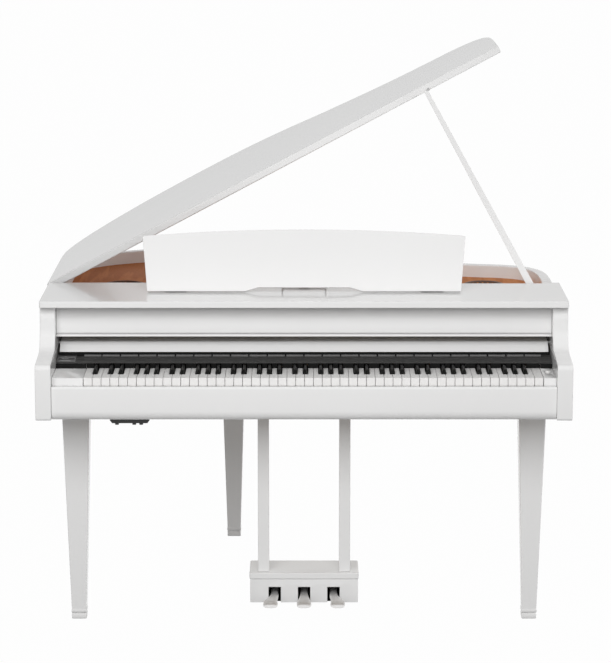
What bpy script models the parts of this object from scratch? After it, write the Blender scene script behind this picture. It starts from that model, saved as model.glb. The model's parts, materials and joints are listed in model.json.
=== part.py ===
"""A digital grand piano with its lid propped open, as an assembly of separate pieces.

Metres, +Z up. +X points to the treble end and +Y to the tail. The origin is on the floor, under the
middle of the case. A depth is counted backwards from the front faces of the two arms.
"""

import math

import bmesh
import bpy
from mathutils import Matrix, Vector

GAP = 0.0003  # clearance between pieces that touch

# Case
DEPTH = 1.237
CASE_BOTTOM = 0.616
CASE_FLOOR = 0.018  # thickness of the bottom board
ARM_THICK = 0.042
CASE_BACK_START = 0.449  # depth where the arms end and the rim begins
RIM_INSET = 0.006  # how far the rim's straight sides lie inside the arms
RIM_THICK = 0.028
LID_OVERHANG = 0.002
CHEEK_RISE = 0.040  # front of the arm's top, above the white keys
BOARD_RISE = 0.186  # top of the board, above the white keys
BOARD_THICK = 0.018
BOARD_FRONT = 0.147
NAME_BOARD_FRONT = 0.198
NAME_BOARD_THICK = 0.018
NAME_BOARD_RISE = 0.079  # lower edge of the name board, above the white keys
BELLY_RAIL_THICK = 0.020
SOUND_PANEL_THICK = 0.005
SOUND_PANEL_DROP = 0.036  # below the rim's top
SPEAKER_SIDE = 0.191  # centre of a speaker, from the case's side
SPEAKER_TAIL_SHARE = 0.3985  # of the way from the arms' ends to the tail
SPEAKER_RADIUS = 0.060

# Keyboard
KEYBED_THICK = 0.024
KEY_RISE = 0.110  # top of the white keys, above the case's underside
KEY_FRONT = 0.032
KEY_LENGTH = 0.248
KEY_PIVOT = 0.240  # from the key fronts back to the balance rail
KEY_AXIS_RISE = 0.006  # above the keys' undersides
KEY_THICK = 0.020
WHITE_PITCH = 0.0236
WHITE_KEYS = 52
BASS_BLOCK = 0.0844  # from the bass arm to the lowest key
TREBLE_BLOCK = 0.0344  # from the highest key to the treble arm
KEY_SLIT = 0.0010
BLACK_WIDTH = 0.0110
BLACK_TOP_WIDTH = 0.0094
BLACK_RISE = 0.012
BLACK_START = 0.050  # behind the key fronts
KEY_PRESS = math.radians(2.5)
COMB_CLEAR = 0.0010  # between a pressed key and the bars of the others
COMB_THICK = 0.0035
COMB_TOOTH = 0.006
COMB_PITCH = 0.0098
COMB_START = 0.008  # from the balance rail to the first bar
RAIL_HALF = 0.016
RAIL_TOP_HALF = 0.004
RAIL_FOOT = 0.012
STOP_START = 0.010  # behind the key fronts
STOP_END = 0.040
STOP_DROP = 0.014  # top of the stop rail, below the keys' undersides
FRAME_SHEET = 0.003
FELT_THICK = 0.003
SLIP_FACE = 0.008
SLIP_DROP = 0.027  # top of the key slip, below the white keys
PANEL_FRONT = 0.157
PANEL_BACK = 0.212
PANEL_LIFT = 0.014  # underside of the control panel, above the white keys
PANEL_BACK_HEIGHT = 0.013
PANEL_FRONT_HEIGHT = 0.004
SLIDER_LENGTH = 0.010
SLIDER_TRAVEL = 0.028
BUTTON_RADIUS = 0.006
BUTTON_TRAVEL = 0.002

# Key cover
COVER_FRONT = 0.212
COVER_BACK = 0.435
COVER_THICK = 0.012
COVER_RISE = 0.030  # lower edge of the cover's lip, above the white keys
LIP_DEPTH = 0.028
LIP_HEIGHT = 0.024
COVER_SLOPE = math.radians(3)
COVER_TRAVEL = 0.185
COVER_SIDE_GAP = 0.0065
ROLLER_RADIUS = 0.0035
GROOVE_DEPTH = 0.0055

# Lid, its hinges and its stay
LID_ANGLE = math.radians(28)
LID_THICK = 0.0205
LID_LIFT = 0.006  # from the rim's top to the closed lid's underside
LID_FRONT_GAP = 0.001
HINGE_RADIUS = 0.0027
HINGE_PIN_RADIUS = 0.0012
HINGE_LEAF = 0.018
HINGE_LEAF_THICK = 0.0012
LID_HINGE_DEPTHS = (0.50, 0.92)
BUMPER_RADIUS = 0.006
BUMPER_DEPTH = 0.56
STAY_SIDE = 0.067  # pivot of the stay, from the case's side
STAY_DROP = 0.032  # pivot of the stay, below the board's top
STAY_THICK = 0.008
STAY_SLOT = 0.013
STAY_BASE_RADIUS = 0.010
STAY_TIP_RADIUS = 0.006
STAY_PIN_RADIUS = 0.004
PEG_RADIUS = 0.004
PEG_INSET = 0.238  # the peg's reach from the hinge line is the case's width less this
PEG_RISE = 0.007  # above the level of the lid's hinge line
PEG_SIDE = math.radians(50)  # side of the tip that the peg lies on

# Music rest
REST_FRONT = 0.281
REST_LEAN = math.radians(15)
REST_BOTTOM_WIDTH = 0.861
REST_TOP_WIDTH = 0.887
REST_END_HEIGHT = 0.1526
REST_MIDDLE_HEIGHT = 0.1702
REST_THICK = 0.015
REST_CUT_WIDTH = 0.323
REST_CUT_TOP_WIDTH = 0.251
REST_CUT_HEIGHT = 0.0105
REST_HINGE_X = 0.352
REST_HINGE_LENGTH = 0.060
REST_HINGE_RISE = 0.0045  # axis above the board
REST_CLEAR = 0.001  # lower edge of the standing rest, above the board
BAIL_REACH = 0.070
BAIL_RADIUS = 0.0025
BAIL_WIDTH = 0.120
CLIP_WIDTH = 0.030

# Legs and lyre
LEG_SIDE = 0.089  # middle of a front leg, from the case's side
LEG_DEPTH = 0.2485
REAR_LEG_SHARE = -0.3035  # of the case's half width
REAR_LEG_INSET = 0.1115  # middle of the rear leg, from the tail
FOOT_SIZE = 0.041
FOOT_HEIGHT = 0.015
LEG_TOP_SIZE = 0.074
BRACKET_SIZE = 0.116
BRACKET_NECK_SIZE = 0.083
BRACKET_HEIGHT = 0.040
POST_SIZE = 0.031
POST_X = 0.112
POST_DEPTH = 0.2385
PEDAL_BOX_WIDTH = 0.303
PEDAL_BOX_FRONT = 0.210
PEDAL_BOX_BACK = 0.341
PEDAL_BOX_TOP = 0.137
PEDAL_BOX_LID = 0.018
PEDAL_BOX_BOTTOM = 0.052
PEDAL_BOX_WALL = 0.012
PEDAL_PITCH = 0.0815
PEDAL_DOOR_WIDTH = 0.034
PEDAL_DOOR_TOP = 0.096
PEDAL_TIP = 0.120
PEDAL_NECK = 0.0095  # half width
PEDAL_TOE = 0.020  # half width
PEDAL_TOE_LENGTH = 0.024
PEDAL_TOE_SHIFT = 0.011  # how far the outer toes lean aside
PEDAL_AXLE_DEPTH = 0.300
PEDAL_LEVEL = 0.072
PEDAL_THICK = 0.012
AXLE_RADIUS = 0.003

# Sockets
PHONES_SIDE = 0.192  # from the case's bass side
PHONES_WIDTH = 0.107
PHONES_DEPTH = (0.085, 0.165)
PHONES_HEIGHT = 0.0255
JACK_PLACES = (0.0184, 0.0650, 0.0837)  # from the box's bass end
JACK_RADIUS = 0.0055
JACK_BORE = 0.0034
JACK_LENGTH = 0.006
INLET_SIDE = 0.285
INLET_DEPTH = 0.620
INLET_SIZE = (0.034, 0.028, 0.024)
INLET_BORE = (0.024, 0.014, 0.016)

# Electronics on the bottom board
CIRCUIT_X = -0.100
CIRCUIT_DEPTH = 0.700
CIRCUIT_SIZE = (0.300, 0.200, 0.0016)
CIRCUIT_LIFT = 0.006
CIRCUIT_EDGE = 0.008  # from the edges to the spacers
SPACER_RADIUS = 0.004
CHIPS = ((-0.080, -0.040, 0.024), (0.000, 0.000, 0.030), (0.080, 0.040, 0.018))  # place, size
CHIP_HEIGHT = 0.001
SUPPLY_X = -0.485
SUPPLY_DEPTH = 0.615
SUPPLY_SIZE = (0.130, 0.130, 0.042)

# Levels and places worked out from the sizes above
FRONT = -DEPTH / 2
TAIL = DEPTH - CASE_BACK_START
INNER_HALF = (BASS_BLOCK + WHITE_KEYS * WHITE_PITCH + TREBLE_BLOCK) / 2
HALF = INNER_HALF + ARM_THICK
KEY_TOP = CASE_BOTTOM + KEY_RISE
KEYBED_TOP = CASE_BOTTOM + KEYBED_THICK
BOARD_TOP = KEY_TOP + BOARD_RISE
BOARD_UNDER = BOARD_TOP - BOARD_THICK
LID_UNDER = BOARD_TOP - LID_THICK
RIM_TOP = LID_UNDER - LID_LIFT
SOUND_PANEL_TOP = RIM_TOP - SOUND_PANEL_DROP
KEYBOARD_LEFT = BASS_BLOCK - INNER_HALF
KEYBOARD_RIGHT = INNER_HALF - TREBLE_BLOCK
KEY_UNDER = KEY_TOP - KEY_THICK
KEY_AXIS_DEPTH = KEY_FRONT + KEY_PIVOT
BACK_START = FRONT + CASE_BACK_START
RIM_HALF = HALF - RIM_INSET
LID_HALF = RIM_HALF + LID_OVERHANG
HINGE_X = -LID_HALF + LID_OVERHANG + GAP + HINGE_RADIUS
HINGE_Z = RIM_TOP + LID_LIFT / 2
STAY_X = HALF - STAY_SIDE
STAY_Z = BOARD_TOP - STAY_DROP
PEG_REACH = 2 * HALF - PEG_INSET
REST_OFFSET = BAIL_RADIUS + 0.0005  # from the rest's hinge line to its back face
REST_HINGE_Z = BOARD_TOP + REST_HINGE_RISE

MATERIALS = {
    "white_lacquer": ((0.86, 0.86, 0.85), 0.12, 0.0),
    "black_gloss": ((0.02, 0.02, 0.02), 0.15, 0.0),
    "dark_panel": ((0.05, 0.05, 0.05), 0.35, 0.0),
    "key_white": ((0.85, 0.85, 0.83), 0.30, 0.0),
    "key_black": ((0.02, 0.02, 0.02), 0.40, 0.0),
    "brown_wood": ((0.45, 0.22, 0.10), 0.35, 0.0),
    "plain_board": ((0.62, 0.50, 0.36), 0.70, 0.0),
    "grey_steel": ((0.55, 0.55, 0.56), 0.35, 1.0),
    "silver": ((0.85, 0.85, 0.85), 0.18, 1.0),
    "black_rubber": ((0.03, 0.03, 0.03), 0.80, 0.0),
    "red_felt": ((0.35, 0.05, 0.05), 0.95, 0.0),
    "green_board": ((0.03, 0.20, 0.08), 0.50, 0.0),
    "paper_cone": ((0.06, 0.06, 0.06), 0.80, 0.0),
}

for old in list(bpy.data.objects):
    bpy.data.objects.remove(old)


def make_material(name):
    colour, roughness, metallic = MATERIALS[name]
    material = bpy.data.materials.new(name)
    material.use_nodes = True
    shader = material.node_tree.nodes["Principled BSDF"]
    shader.inputs["Base Color"].default_value = (*colour, 1.0)
    shader.inputs["Roughness"].default_value = roughness
    shader.inputs["Metallic"].default_value = metallic
    return material


FINISHES = {name: make_material(name) for name in MATERIALS}


def back(depth):
    """The Y of a place that lies this deep behind the arms' fronts."""
    return FRONT + depth


def joint_frame(name, place, angle=0.0, axis="X"):
    """An empty on a joint's axis, turned to the moving piece's own frame."""
    empty = bpy.data.objects.new(name, None)
    bpy.context.collection.objects.link(empty)
    empty.matrix_world = Matrix.Translation(place) @ Matrix.Rotation(angle, 4, axis)
    return empty


def add_piece(name, shape, finish, frame=None, in_frame=False, round_piece=False):
    """Turn a bmesh into a named object. A shape in world places is moved into its frame."""
    bmesh.ops.recalc_face_normals(shape, faces=shape.faces[:])
    if frame and not in_frame:
        bmesh.ops.transform(shape, matrix=frame.matrix_world.inverted(), verts=shape.verts[:])
    mesh = bpy.data.meshes.new(name)
    shape.to_mesh(mesh)
    shape.free()
    piece = bpy.data.objects.new(name, mesh)
    bpy.context.collection.objects.link(piece)
    mesh.materials.append(FINISHES[finish])
    if round_piece:
        mesh.shade_smooth()
        mesh.set_sharp_from_angle(angle=math.radians(40))
    if frame:
        piece.parent = frame
    return piece


def combine(piece, shape, name, operation):
    """Join a shape, in world places, to a piece, or take it out of the piece."""
    tool = add_piece(name, shape, "grey_steel")
    tool.hide_render = True
    tool.display_type = "WIRE"
    boolean = piece.modifiers.new(name, "BOOLEAN")
    boolean.operation = operation
    boolean.solver = "EXACT"
    boolean.object = tool


def cut(piece, shape, name):
    combine(piece, shape, name, "DIFFERENCE")


def join(piece, shape, name):
    combine(piece, shape, name, "UNION")


def prism(shape, outline, axis, low, high):
    """Extrude an outline along an axis. Its points are in the two other axes, in X, Y, Z order."""
    def spot(a, b, along):
        return {"X": (along, a, b), "Y": (a, along, b), "Z": (a, b, along)}[axis]

    start = [shape.verts.new(spot(a, b, low)) for a, b in outline]
    end = [shape.verts.new(spot(a, b, high)) for a, b in outline]
    shape.faces.new(start)
    shape.faces.new(end)
    for i in range(len(outline)):
        j = (i + 1) % len(outline)
        shape.faces.new((start[i], start[j], end[j], end[i]))
    return shape


def box(shape, low, high):
    outline = [(low[0], low[1]), (high[0], low[1]), (high[0], high[1]), (low[0], high[1])]
    return prism(shape, outline, "Z", low[2], high[2])


def turned(shape, profile, axis, centre, sides=12):
    """Turn a profile of (radius, place along the axis) points into a closed solid."""
    rings = []
    for radius, along in profile:
        ring = []
        for i in range(sides):
            turn = 2 * math.pi * (i + 0.5) / sides
            a, b = radius * math.cos(turn), radius * math.sin(turn)
            spot = {"X": (along, a, b), "Y": (a, along, b), "Z": (a, b, along)}[axis]
            ring.append(shape.verts.new(Vector(centre) + Vector(spot)))
        rings.append(ring)
    shape.faces.new(rings[0])
    shape.faces.new(rings[-1])
    for ring, following in zip(rings, rings[1:]):
        for i in range(sides):
            j = (i + 1) % sides
            shape.faces.new((ring[i], ring[j], following[j], following[i]))
    return shape


def rod(shape, radius, axis, centre, low, high, sides=12):
    return turned(shape, [(radius, low), (radius, high)], axis, centre, sides)


def square_loft(shape, centre_x, centre_y, sections):
    """A stack of squares, each given as (height, side)."""
    rings = []
    for height, side in sections:
        half = side / 2
        corners = [(-half, -half), (half, -half), (half, half), (-half, half)]
        rings.append([shape.verts.new((centre_x + a, centre_y + b, height)) for a, b in corners])
    shape.faces.new(rings[0])
    shape.faces.new(rings[-1])
    for ring, following in zip(rings, rings[1:]):
        for i in range(4):
            j = (i + 1) % 4
            shape.faces.new((ring[i], ring[j], following[j], following[i]))
    return shape


def smooth_line(points, steps):
    """A Catmull-Rom curve through the points, with this many steps between two of them."""
    points = [Vector(point) for point in points]
    first = 2 * points[0] - points[1]
    last = 2 * points[-1] - points[-2]
    padded = [first, *points, last]
    line = []
    for a, b, c, d in zip(padded, padded[1:], padded[2:], padded[3:]):
        for step in range(steps):
            t = step / steps
            line.append(0.5 * (2 * b + (c - a) * t + (2 * a - 5 * b + 4 * c - d) * t ** 2
                               + (3 * b - a - 3 * c + d) * t ** 3))
    line.append(points[-1])
    return line


def inset_line(line, distance):
    """Move each point of an open line to its left by a distance."""
    moved = []
    for i, point in enumerate(line):
        ahead = line[min(i + 1, len(line) - 1)] - line[max(i - 1, 0)]
        side = Vector((-ahead.y, ahead.x)).normalized()
        moved.append(point + side * distance)
    return moved


def arc(centre, radius, start, end, steps):
    turns = [start + (end - start) * i / steps for i in range(steps + 1)]
    return [(centre[0] + radius * math.cos(a), centre[1] + radius * math.sin(a)) for a in turns]


def case_line():
    """The closed lid's edge seen from above, from the treble side round the tail to the bass side.

    Each point is a share of the lid's half width and a share of the way back to the tail.
    """
    points = [
        (1.000, 0.2931), (0.993, 0.3947), (0.970, 0.4772), (0.917, 0.5470), (0.830, 0.5901),
        (0.709, 0.6129), (0.570, 0.6459), (0.422, 0.7056), (0.226, 0.8020), (0.084, 0.8896),
        (-0.075, 0.9607), (-0.225, 0.9924), (-0.377, 1.0000), (-0.534, 0.9886), (-0.675, 0.9569),
        (-0.809, 0.8997), (-0.921, 0.8160), (-0.985, 0.7119), (-1.000, 0.5977),
    ]
    curve = smooth_line([(side * LID_HALF, BACK_START + share * TAIL) for side, share in points], 3)
    return [Vector((LID_HALF, BACK_START)), *curve, Vector((-LID_HALF, BACK_START))]


def case_area(inset, start):
    """The case's outline drawn in by an inset, cut off square at a start Y."""
    line = inset_line(case_line(), inset)
    line[0].y = start
    line[-1].y = start
    return line


def hinge_outline(leaf_way, foot):
    """A knuckle round the origin and a leaf beside it, which lies this way up. Its foot is this deep."""
    start = math.asin((HINGE_RADIUS - HINGE_LEAF_THICK) / HINGE_RADIUS)
    leaf_z = HINGE_LEAF_THICK - HINGE_RADIUS
    outline = [(HINGE_LEAF, -foot), (HINGE_LEAF, leaf_z)]
    outline += arc((0, 0), HINGE_RADIUS, -start, math.pi, 8)
    outline += [(-HINGE_RADIUS, -foot)]
    return [(a, b * leaf_way) for a, b in outline]


def knuckle_room(low, high, foot):
    """The space that one half's knuckle leaves for the other's, from low to high along the axis."""
    edge = HINGE_RADIUS + 0.001
    return ((-edge, low - GAP, -foot - 0.001), (HINGE_RADIUS + GAP, high + GAP, foot + 0.001))


# Case: shells, boards and rails
def make_arm(name, side):
    """One arm: a thick side board with a scooped front, and a groove for the key cover."""
    low_front = KEY_TOP + CHEEK_RISE
    scoop = smooth_line([
        (back(0.014), low_front), (back(0.044), low_front + 0.004), (back(0.079), low_front + 0.007),
        (back(0.111), low_front + 0.011), (back(0.134), low_front + 0.018),
        (back(0.152), low_front + 0.035), (back(0.164), low_front + 0.058),
        (back(0.168), low_front + 0.085)], 2)
    outline = [(FRONT + 0.006, CASE_BOTTOM), (FRONT, CASE_BOTTOM + 0.006)]
    outline += arc((FRONT + 0.014, low_front - 0.014), 0.014, math.pi, math.pi / 2, 4)[:-1]
    outline += [tuple(point) for point in scoop]
    outline += [(back(0.168), BOARD_UNDER - GAP), (BACK_START, BOARD_UNDER - GAP)]
    outline += [(BACK_START, CASE_BOTTOM)]
    inner, outer = side * INNER_HALF, side * HALF
    arm = add_piece(name, prism(bmesh.new(), outline, "X", min(inner, outer), max(inner, outer)),
                    "white_lacquer", round_piece=True)
    half = ROLLER_RADIUS + GAP
    front_y, back_y = roller_y(0) - COVER_TRAVEL - half - GAP, roller_y(1) + half + GAP
    groove = [(front_y, roller_z(front_y) - half), (back_y, roller_z(back_y) - half),
              (back_y, roller_z(back_y) + half), (front_y, roller_z(front_y) + half)]
    ends = sorted((side * (INNER_HALF - 0.002), side * (INNER_HALF + GROOVE_DEPTH)))
    cut(arm, prism(bmesh.new(), groove, "X", *ends), name + "_groove")


def roller_y(number):
    """Y of the front roller, 0, or the back roller, 1, of the open key cover."""
    return back((COVER_FRONT + 0.050, COVER_BACK - 0.012)[number])


def cover_top(y):
    """Height of the open key cover's top face at a Y."""
    start = KEY_TOP + COVER_RISE + LIP_HEIGHT
    return start + (y - back(COVER_FRONT + LIP_DEPTH)) * math.tan(COVER_SLOPE)


def roller_z(y):
    return cover_top(y) - COVER_THICK + ROLLER_RADIUS + 0.0005


def make_case():
    rim_edge = LID_OVERHANG
    outer = case_area(rim_edge, BACK_START + GAP)
    inner = case_area(rim_edge + RIM_THICK, BACK_START + GAP)
    ring = outer + inner[::-1]
    add_piece("rim_shell", prism(bmesh.new(), ring, "Z", CASE_BOTTOM, RIM_TOP),
              "white_lacquer", round_piece=True)
    make_arm("left_arm", -1)
    make_arm("right_arm", 1)

    room_start = BACK_START + 2 * GAP + BELLY_RAIL_THICK
    floor_area = case_area(rim_edge + RIM_THICK + GAP, room_start)
    floor_top = CASE_BOTTOM + CASE_FLOOR
    add_piece("bottom_board", prism(bmesh.new(), floor_area, "Z", CASE_BOTTOM, floor_top),
              "plain_board")
    panel_under = SOUND_PANEL_TOP - SOUND_PANEL_THICK
    panel = add_piece("sound_panel", prism(bmesh.new(), floor_area, "Z", panel_under,
                                           SOUND_PANEL_TOP), "brown_wood")
    holes = bmesh.new()
    for name, side in (("speaker_left", -1), ("speaker_right", 1)):
        centre = (side * (HALF - SPEAKER_SIDE), BACK_START + SPEAKER_TAIL_SHARE * TAIL,
                  SOUND_PANEL_TOP + GAP)
        bore = SPEAKER_RADIUS - 0.011
        rod(holes, bore, "Z", centre, -0.02, 0.01, 20)
        basket = bore - 0.0005
        profile = [(0.018, -0.022), (basket - 0.0015, -0.001), (SPEAKER_RADIUS - 0.010, 0.004),
                   (SPEAKER_RADIUS, 0.004), (SPEAKER_RADIUS, 0), (basket, 0), (basket, -0.008),
                   (0.034, -0.035), (0.034, -0.055)]
        add_piece(name, turned(bmesh.new(), profile, "Z", centre, 20), "paper_cone",
                  round_piece=True)
    cut(panel, holes, "speaker_holes")

    rail_half = RIM_HALF - RIM_THICK - GAP
    add_piece("belly_rail", box(bmesh.new(), (-rail_half, BACK_START + GAP, floor_top + GAP),
                                (rail_half, room_start - GAP, RIM_TOP)), "plain_board")
    inside = INNER_HALF - GAP
    add_piece("keybed", box(bmesh.new(), (-inside, back(SLIP_FACE) + 0.0193, CASE_BOTTOM),
                            (inside, BACK_START, KEYBED_TOP)), "plain_board")
    make_key_slip(inside)
    make_name_board(inside)
    make_top_board()


def make_key_slip(half):
    """The apron in front of the keys: a flat face that curls under at the bottom."""
    top, bottom = KEY_TOP - SLIP_DROP, CASE_BOTTOM - 0.0015
    front, rear = back(SLIP_FACE), back(SLIP_FACE) + 0.019
    outline = arc((front + 0.019, bottom + 0.026), 0.019, math.pi, 1.5 * math.pi, 4)
    outline = [(y, bottom + (z - bottom - 0.007) * 26 / 19) for y, z in outline]
    outline += [(rear, top), (front + 0.004, top), (front + 0.001, top - 0.002), (front, top - 0.005)]
    add_piece("key_slip", prism(bmesh.new(), outline, "X", -half, half), "white_lacquer",
              round_piece=True)


def make_name_board(half):
    """The upright board over the key cover, with a chamfer and a thin lip at its lower edge."""
    front, rear = back(NAME_BOARD_FRONT), back(NAME_BOARD_FRONT) + NAME_BOARD_THICK
    low, high = KEY_TOP + NAME_BOARD_RISE, BOARD_UNDER - GAP
    outline = [(front, high), (front, low + 0.0115), (front + 0.007, low + 0.0055),
               (front + 0.005, low + 0.005), (front + 0.005, low), (rear, low), (rear, high)]
    add_piece("name_board", prism(bmesh.new(), outline, "X", -half, half), "white_lacquer")


def make_top_board():
    """The fixed board in front of the lid, with the slot at its back that the stay folds into."""
    front, rear = back(BOARD_FRONT), BACK_START
    slot_front = rear - STAY_SLOT
    left, right = stay_layout()["slot"]
    outline = [(-HALF, front), (HALF, front), (HALF, rear), (right, rear), (right, slot_front),
               (left, slot_front), (left, rear), (-HALF, rear)]
    board = add_piece("top_board", prism(bmesh.new(), outline, "Z", BOARD_UNDER, BOARD_TOP),
                      "white_lacquer")
    bevel = board.modifiers.new("soft_edges", "BEVEL")
    bevel.width = 0.0015
    bevel.segments = 1
    bevel.limit_method = "ANGLE"


# Keyboard, control panel and their rails
def key_slots():
    """Left edge and width of each of the twelve key tails, in white key pitches from the C."""
    fifth, seventh = 3 / 5, 4 / 7
    return [(i * fifth, fifth) for i in range(5)] + [(3 + i * seventh, seventh) for i in range(7)]


NOTES = ("c", "c_sharp", "d", "d_sharp", "e", "f", "f_sharp", "g", "g_sharp", "a", "a_sharp", "b")
WHITE_PLACE = {0: 0, 2: 1, 4: 2, 5: 3, 7: 4, 9: 5, 11: 6}


def make_white_key(shape, octave_x, note, is_first, is_last):
    """A white key: a full head, and a tail between its black neighbours."""
    slot_left, slot_width = key_slots()[note]
    head_left = octave_x + WHITE_PLACE[note] * WHITE_PITCH + KEY_SLIT / 2
    head_right = head_left + WHITE_PITCH - KEY_SLIT
    tail_left = octave_x + slot_left * WHITE_PITCH + KEY_SLIT / 2
    tail_right = tail_left + slot_width * WHITE_PITCH - KEY_SLIT
    if note in (0, 5) or is_first:
        tail_left = head_left
    if note in (4, 11) or is_last:
        tail_right = head_right
    head_y, step_y = back(KEY_FRONT), back(KEY_FRONT + BLACK_START) - KEY_SLIT
    tail_y = back(KEY_FRONT + KEY_LENGTH)
    outline = [(head_left, head_y), (head_right, head_y), (head_right, step_y)]
    if tail_right != head_right:
        outline.append((tail_right, step_y))
    outline += [(tail_right, tail_y), (tail_left, tail_y)]
    if tail_left != head_left:
        outline += [(tail_left, step_y)]
    outline += [(head_left, step_y)]
    prism(shape, outline, "Z", KEY_UNDER, KEY_TOP)


def make_black_key(shape, octave_x, note):
    """A black key: a low tail inside the keyboard, under a tapered top."""
    slot_left, slot_width = key_slots()[note]
    middle = octave_x + (slot_left + slot_width / 2) * WHITE_PITCH
    front_y, tail_y = back(KEY_FRONT + BLACK_START), back(KEY_FRONT + KEY_LENGTH)
    top_z = KEY_TOP + BLACK_RISE
    base, top = BLACK_WIDTH / 2, BLACK_TOP_WIDTH / 2
    sections = [
        (front_y, KEY_TOP, base), (front_y + 0.006, top_z - 0.001, top),
        (front_y + 0.010, top_z, top), (tail_y, top_z, top)]
    rings = []
    for y, height, half in sections:
        corners = [(middle - base, KEY_UNDER), (middle + base, KEY_UNDER),
                   (middle + half, height), (middle - half, height)]
        rings.append([shape.verts.new((x, y, z)) for x, z in corners])
    shape.faces.new(rings[0])
    shape.faces.new(rings[-1])
    for ring, following in zip(rings, rings[1:]):
        for i in range(4):
            j = (i + 1) % 4
            shape.faces.new((ring[i], ring[j], following[j], following[i]))


def make_comb(tails, number):
    """A bar that runs under all the keys, with a tooth up into each key of one note name.

    Each note name has its bar at its own depth, in front of the balance rail. All the bars lie as
    low as the other keys reach over the foremost one, when they are pressed.
    """
    reach = RAIL_HALF + COMB_START + len(NOTES) * COMB_PITCH
    top = KEY_UNDER - reach * math.sin(KEY_PRESS) - COMB_CLEAR
    tooth_half = COMB_TOOTH / 2
    left, right = tails[0] - tooth_half, tails[-1] + tooth_half
    outline = [(right, top - COMB_THICK), (left, top - COMB_THICK)]
    for x in tails:
        outline += [(x - tooth_half, top), (x - tooth_half, KEY_UNDER + 0.001),
                    (x + tooth_half, KEY_UNDER + 0.001), (x + tooth_half, top)]
    del outline[2], outline[-1]
    y = back(KEY_AXIS_DEPTH - RAIL_HALF - COMB_START - number * COMB_PITCH)
    return prism(bmesh.new(), outline, "Y", y - COMB_THICK, y)


def make_keys():
    """All 88 keys. Those of one note name share an object, joined by a thin comb under them."""
    middle = (KEYBOARD_LEFT + KEYBOARD_RIGHT) / 2
    axis = joint_frame("key_axis", (middle, back(KEY_AXIS_DEPTH), KEY_UNDER + KEY_AXIS_RISE))
    shapes = {note: bmesh.new() for note in NOTES}
    tails = {note: [] for note in NOTES}
    whites = 0
    semitone = 9  # the lowest key is an A
    octave_x = KEYBOARD_LEFT - 5 * WHITE_PITCH
    while whites < WHITE_KEYS:
        note = semitone % 12
        if note == 0 and semitone > 9:
            octave_x += 7 * WHITE_PITCH
        shape = shapes[NOTES[note]]
        slot_left, slot_width = key_slots()[note]
        tails[NOTES[note]].append(octave_x + (slot_left + slot_width / 2) * WHITE_PITCH)
        if note in WHITE_PLACE:
            whites += 1
            make_white_key(shape, octave_x, note, whites == 1, whites == WHITE_KEYS)
        else:
            make_black_key(shape, octave_x, note)
        semitone += 1
    for number, note in enumerate(NOTES):
        finish = "key_black" if note.endswith("sharp") else "key_white"
        keys = add_piece("keys_" + note, shapes[note], finish, axis)
        join(keys, make_comb(tails[note], number), "comb_" + note)


def make_key_frame():
    """A folded steel frame: the balance rail under the pivots, the stop rail under the fronts."""
    left, right = KEYBOARD_LEFT, KEYBOARD_RIGHT
    pivot = back(KEY_AXIS_DEPTH)
    base = KEYBED_TOP + GAP
    stop_y, stop_end = back(KEY_FRONT + STOP_START), back(KEY_FRONT + STOP_END)
    stop_z = KEY_UNDER - STOP_DROP
    outline = [(stop_y, base), (pivot + RAIL_HALF, base), (pivot + RAIL_HALF, base + RAIL_FOOT),
               (pivot + RAIL_TOP_HALF, KEY_UNDER - GAP), (pivot - RAIL_TOP_HALF, KEY_UNDER - GAP),
               (pivot - RAIL_HALF, base + RAIL_FOOT), (pivot - RAIL_HALF, base + FRAME_SHEET),
               (stop_end, base + FRAME_SHEET), (stop_end, stop_z), (stop_y, stop_z)]
    add_piece("key_frame", prism(bmesh.new(), outline, "X", left, right), "grey_steel")
    felt = box(bmesh.new(), (left, stop_y, stop_z + GAP),
               (right, stop_end, stop_z + GAP + FELT_THICK))
    add_piece("key_felt", felt, "red_felt")


def panel_top(y):
    """Height of the control panel's sloped top at a Y."""
    front_z = KEY_TOP + PANEL_LIFT + PANEL_FRONT_HEIGHT
    back_z = KEY_TOP + PANEL_LIFT + PANEL_BACK_HEIGHT
    share = (y - back(PANEL_FRONT) - 0.002) / (PANEL_BACK - PANEL_FRONT - 0.002)
    return front_z + (back_z - front_z) * share


def make_control_panel():
    """The black panel over the keys' backs, with a slotted volume slider at the bass end."""
    front, rear, under = back(PANEL_FRONT), back(PANEL_BACK), KEY_TOP + PANEL_LIFT
    outline = [(front, under), (front, panel_top(front + 0.002) - 0.001),
               (front + 0.002, panel_top(front + 0.002)), (rear, panel_top(rear)), (rear, under)]
    half = INNER_HALF - 0.002
    panel = add_piece("control_panel", prism(bmesh.new(), outline, "X", -half, half), "dark_panel")
    middle = back((PANEL_FRONT + PANEL_BACK) / 2 + 0.002)
    left = -half + 0.007
    right = left + SLIDER_TRAVEL + SLIDER_LENGTH
    stem_half, depth = 0.0012, 0.004
    slot = box(bmesh.new(), (left - GAP, middle - stem_half - GAP, panel_top(middle) - depth - GAP),
               (right + GAP, middle + stem_half + GAP, panel_top(middle) + 0.01))
    cut(panel, slot, "slider_slot")
    axis = joint_frame("slider_axis", (left + SLIDER_LENGTH / 2, middle, panel_top(middle)))
    low_y, high_y = middle - 0.003, middle + 0.003
    knob_top = panel_top(high_y) + 0.003
    knob = [(low_y, panel_top(low_y) + GAP), (middle - stem_half, panel_top(middle - stem_half) + GAP),
            (middle - stem_half, panel_top(middle) - depth),
            (middle + stem_half, panel_top(middle) - depth),
            (middle + stem_half, panel_top(middle + stem_half) + GAP),
            (high_y, panel_top(high_y) + GAP), (high_y, knob_top - 0.001),
            (high_y - 0.001, knob_top), (low_y + 0.001, knob_top - 0.001), (low_y, knob_top - 0.002)]
    add_piece("volume_slider", prism(bmesh.new(), knob, "X", left, left + SLIDER_LENGTH),
              "black_gloss", axis)


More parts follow.
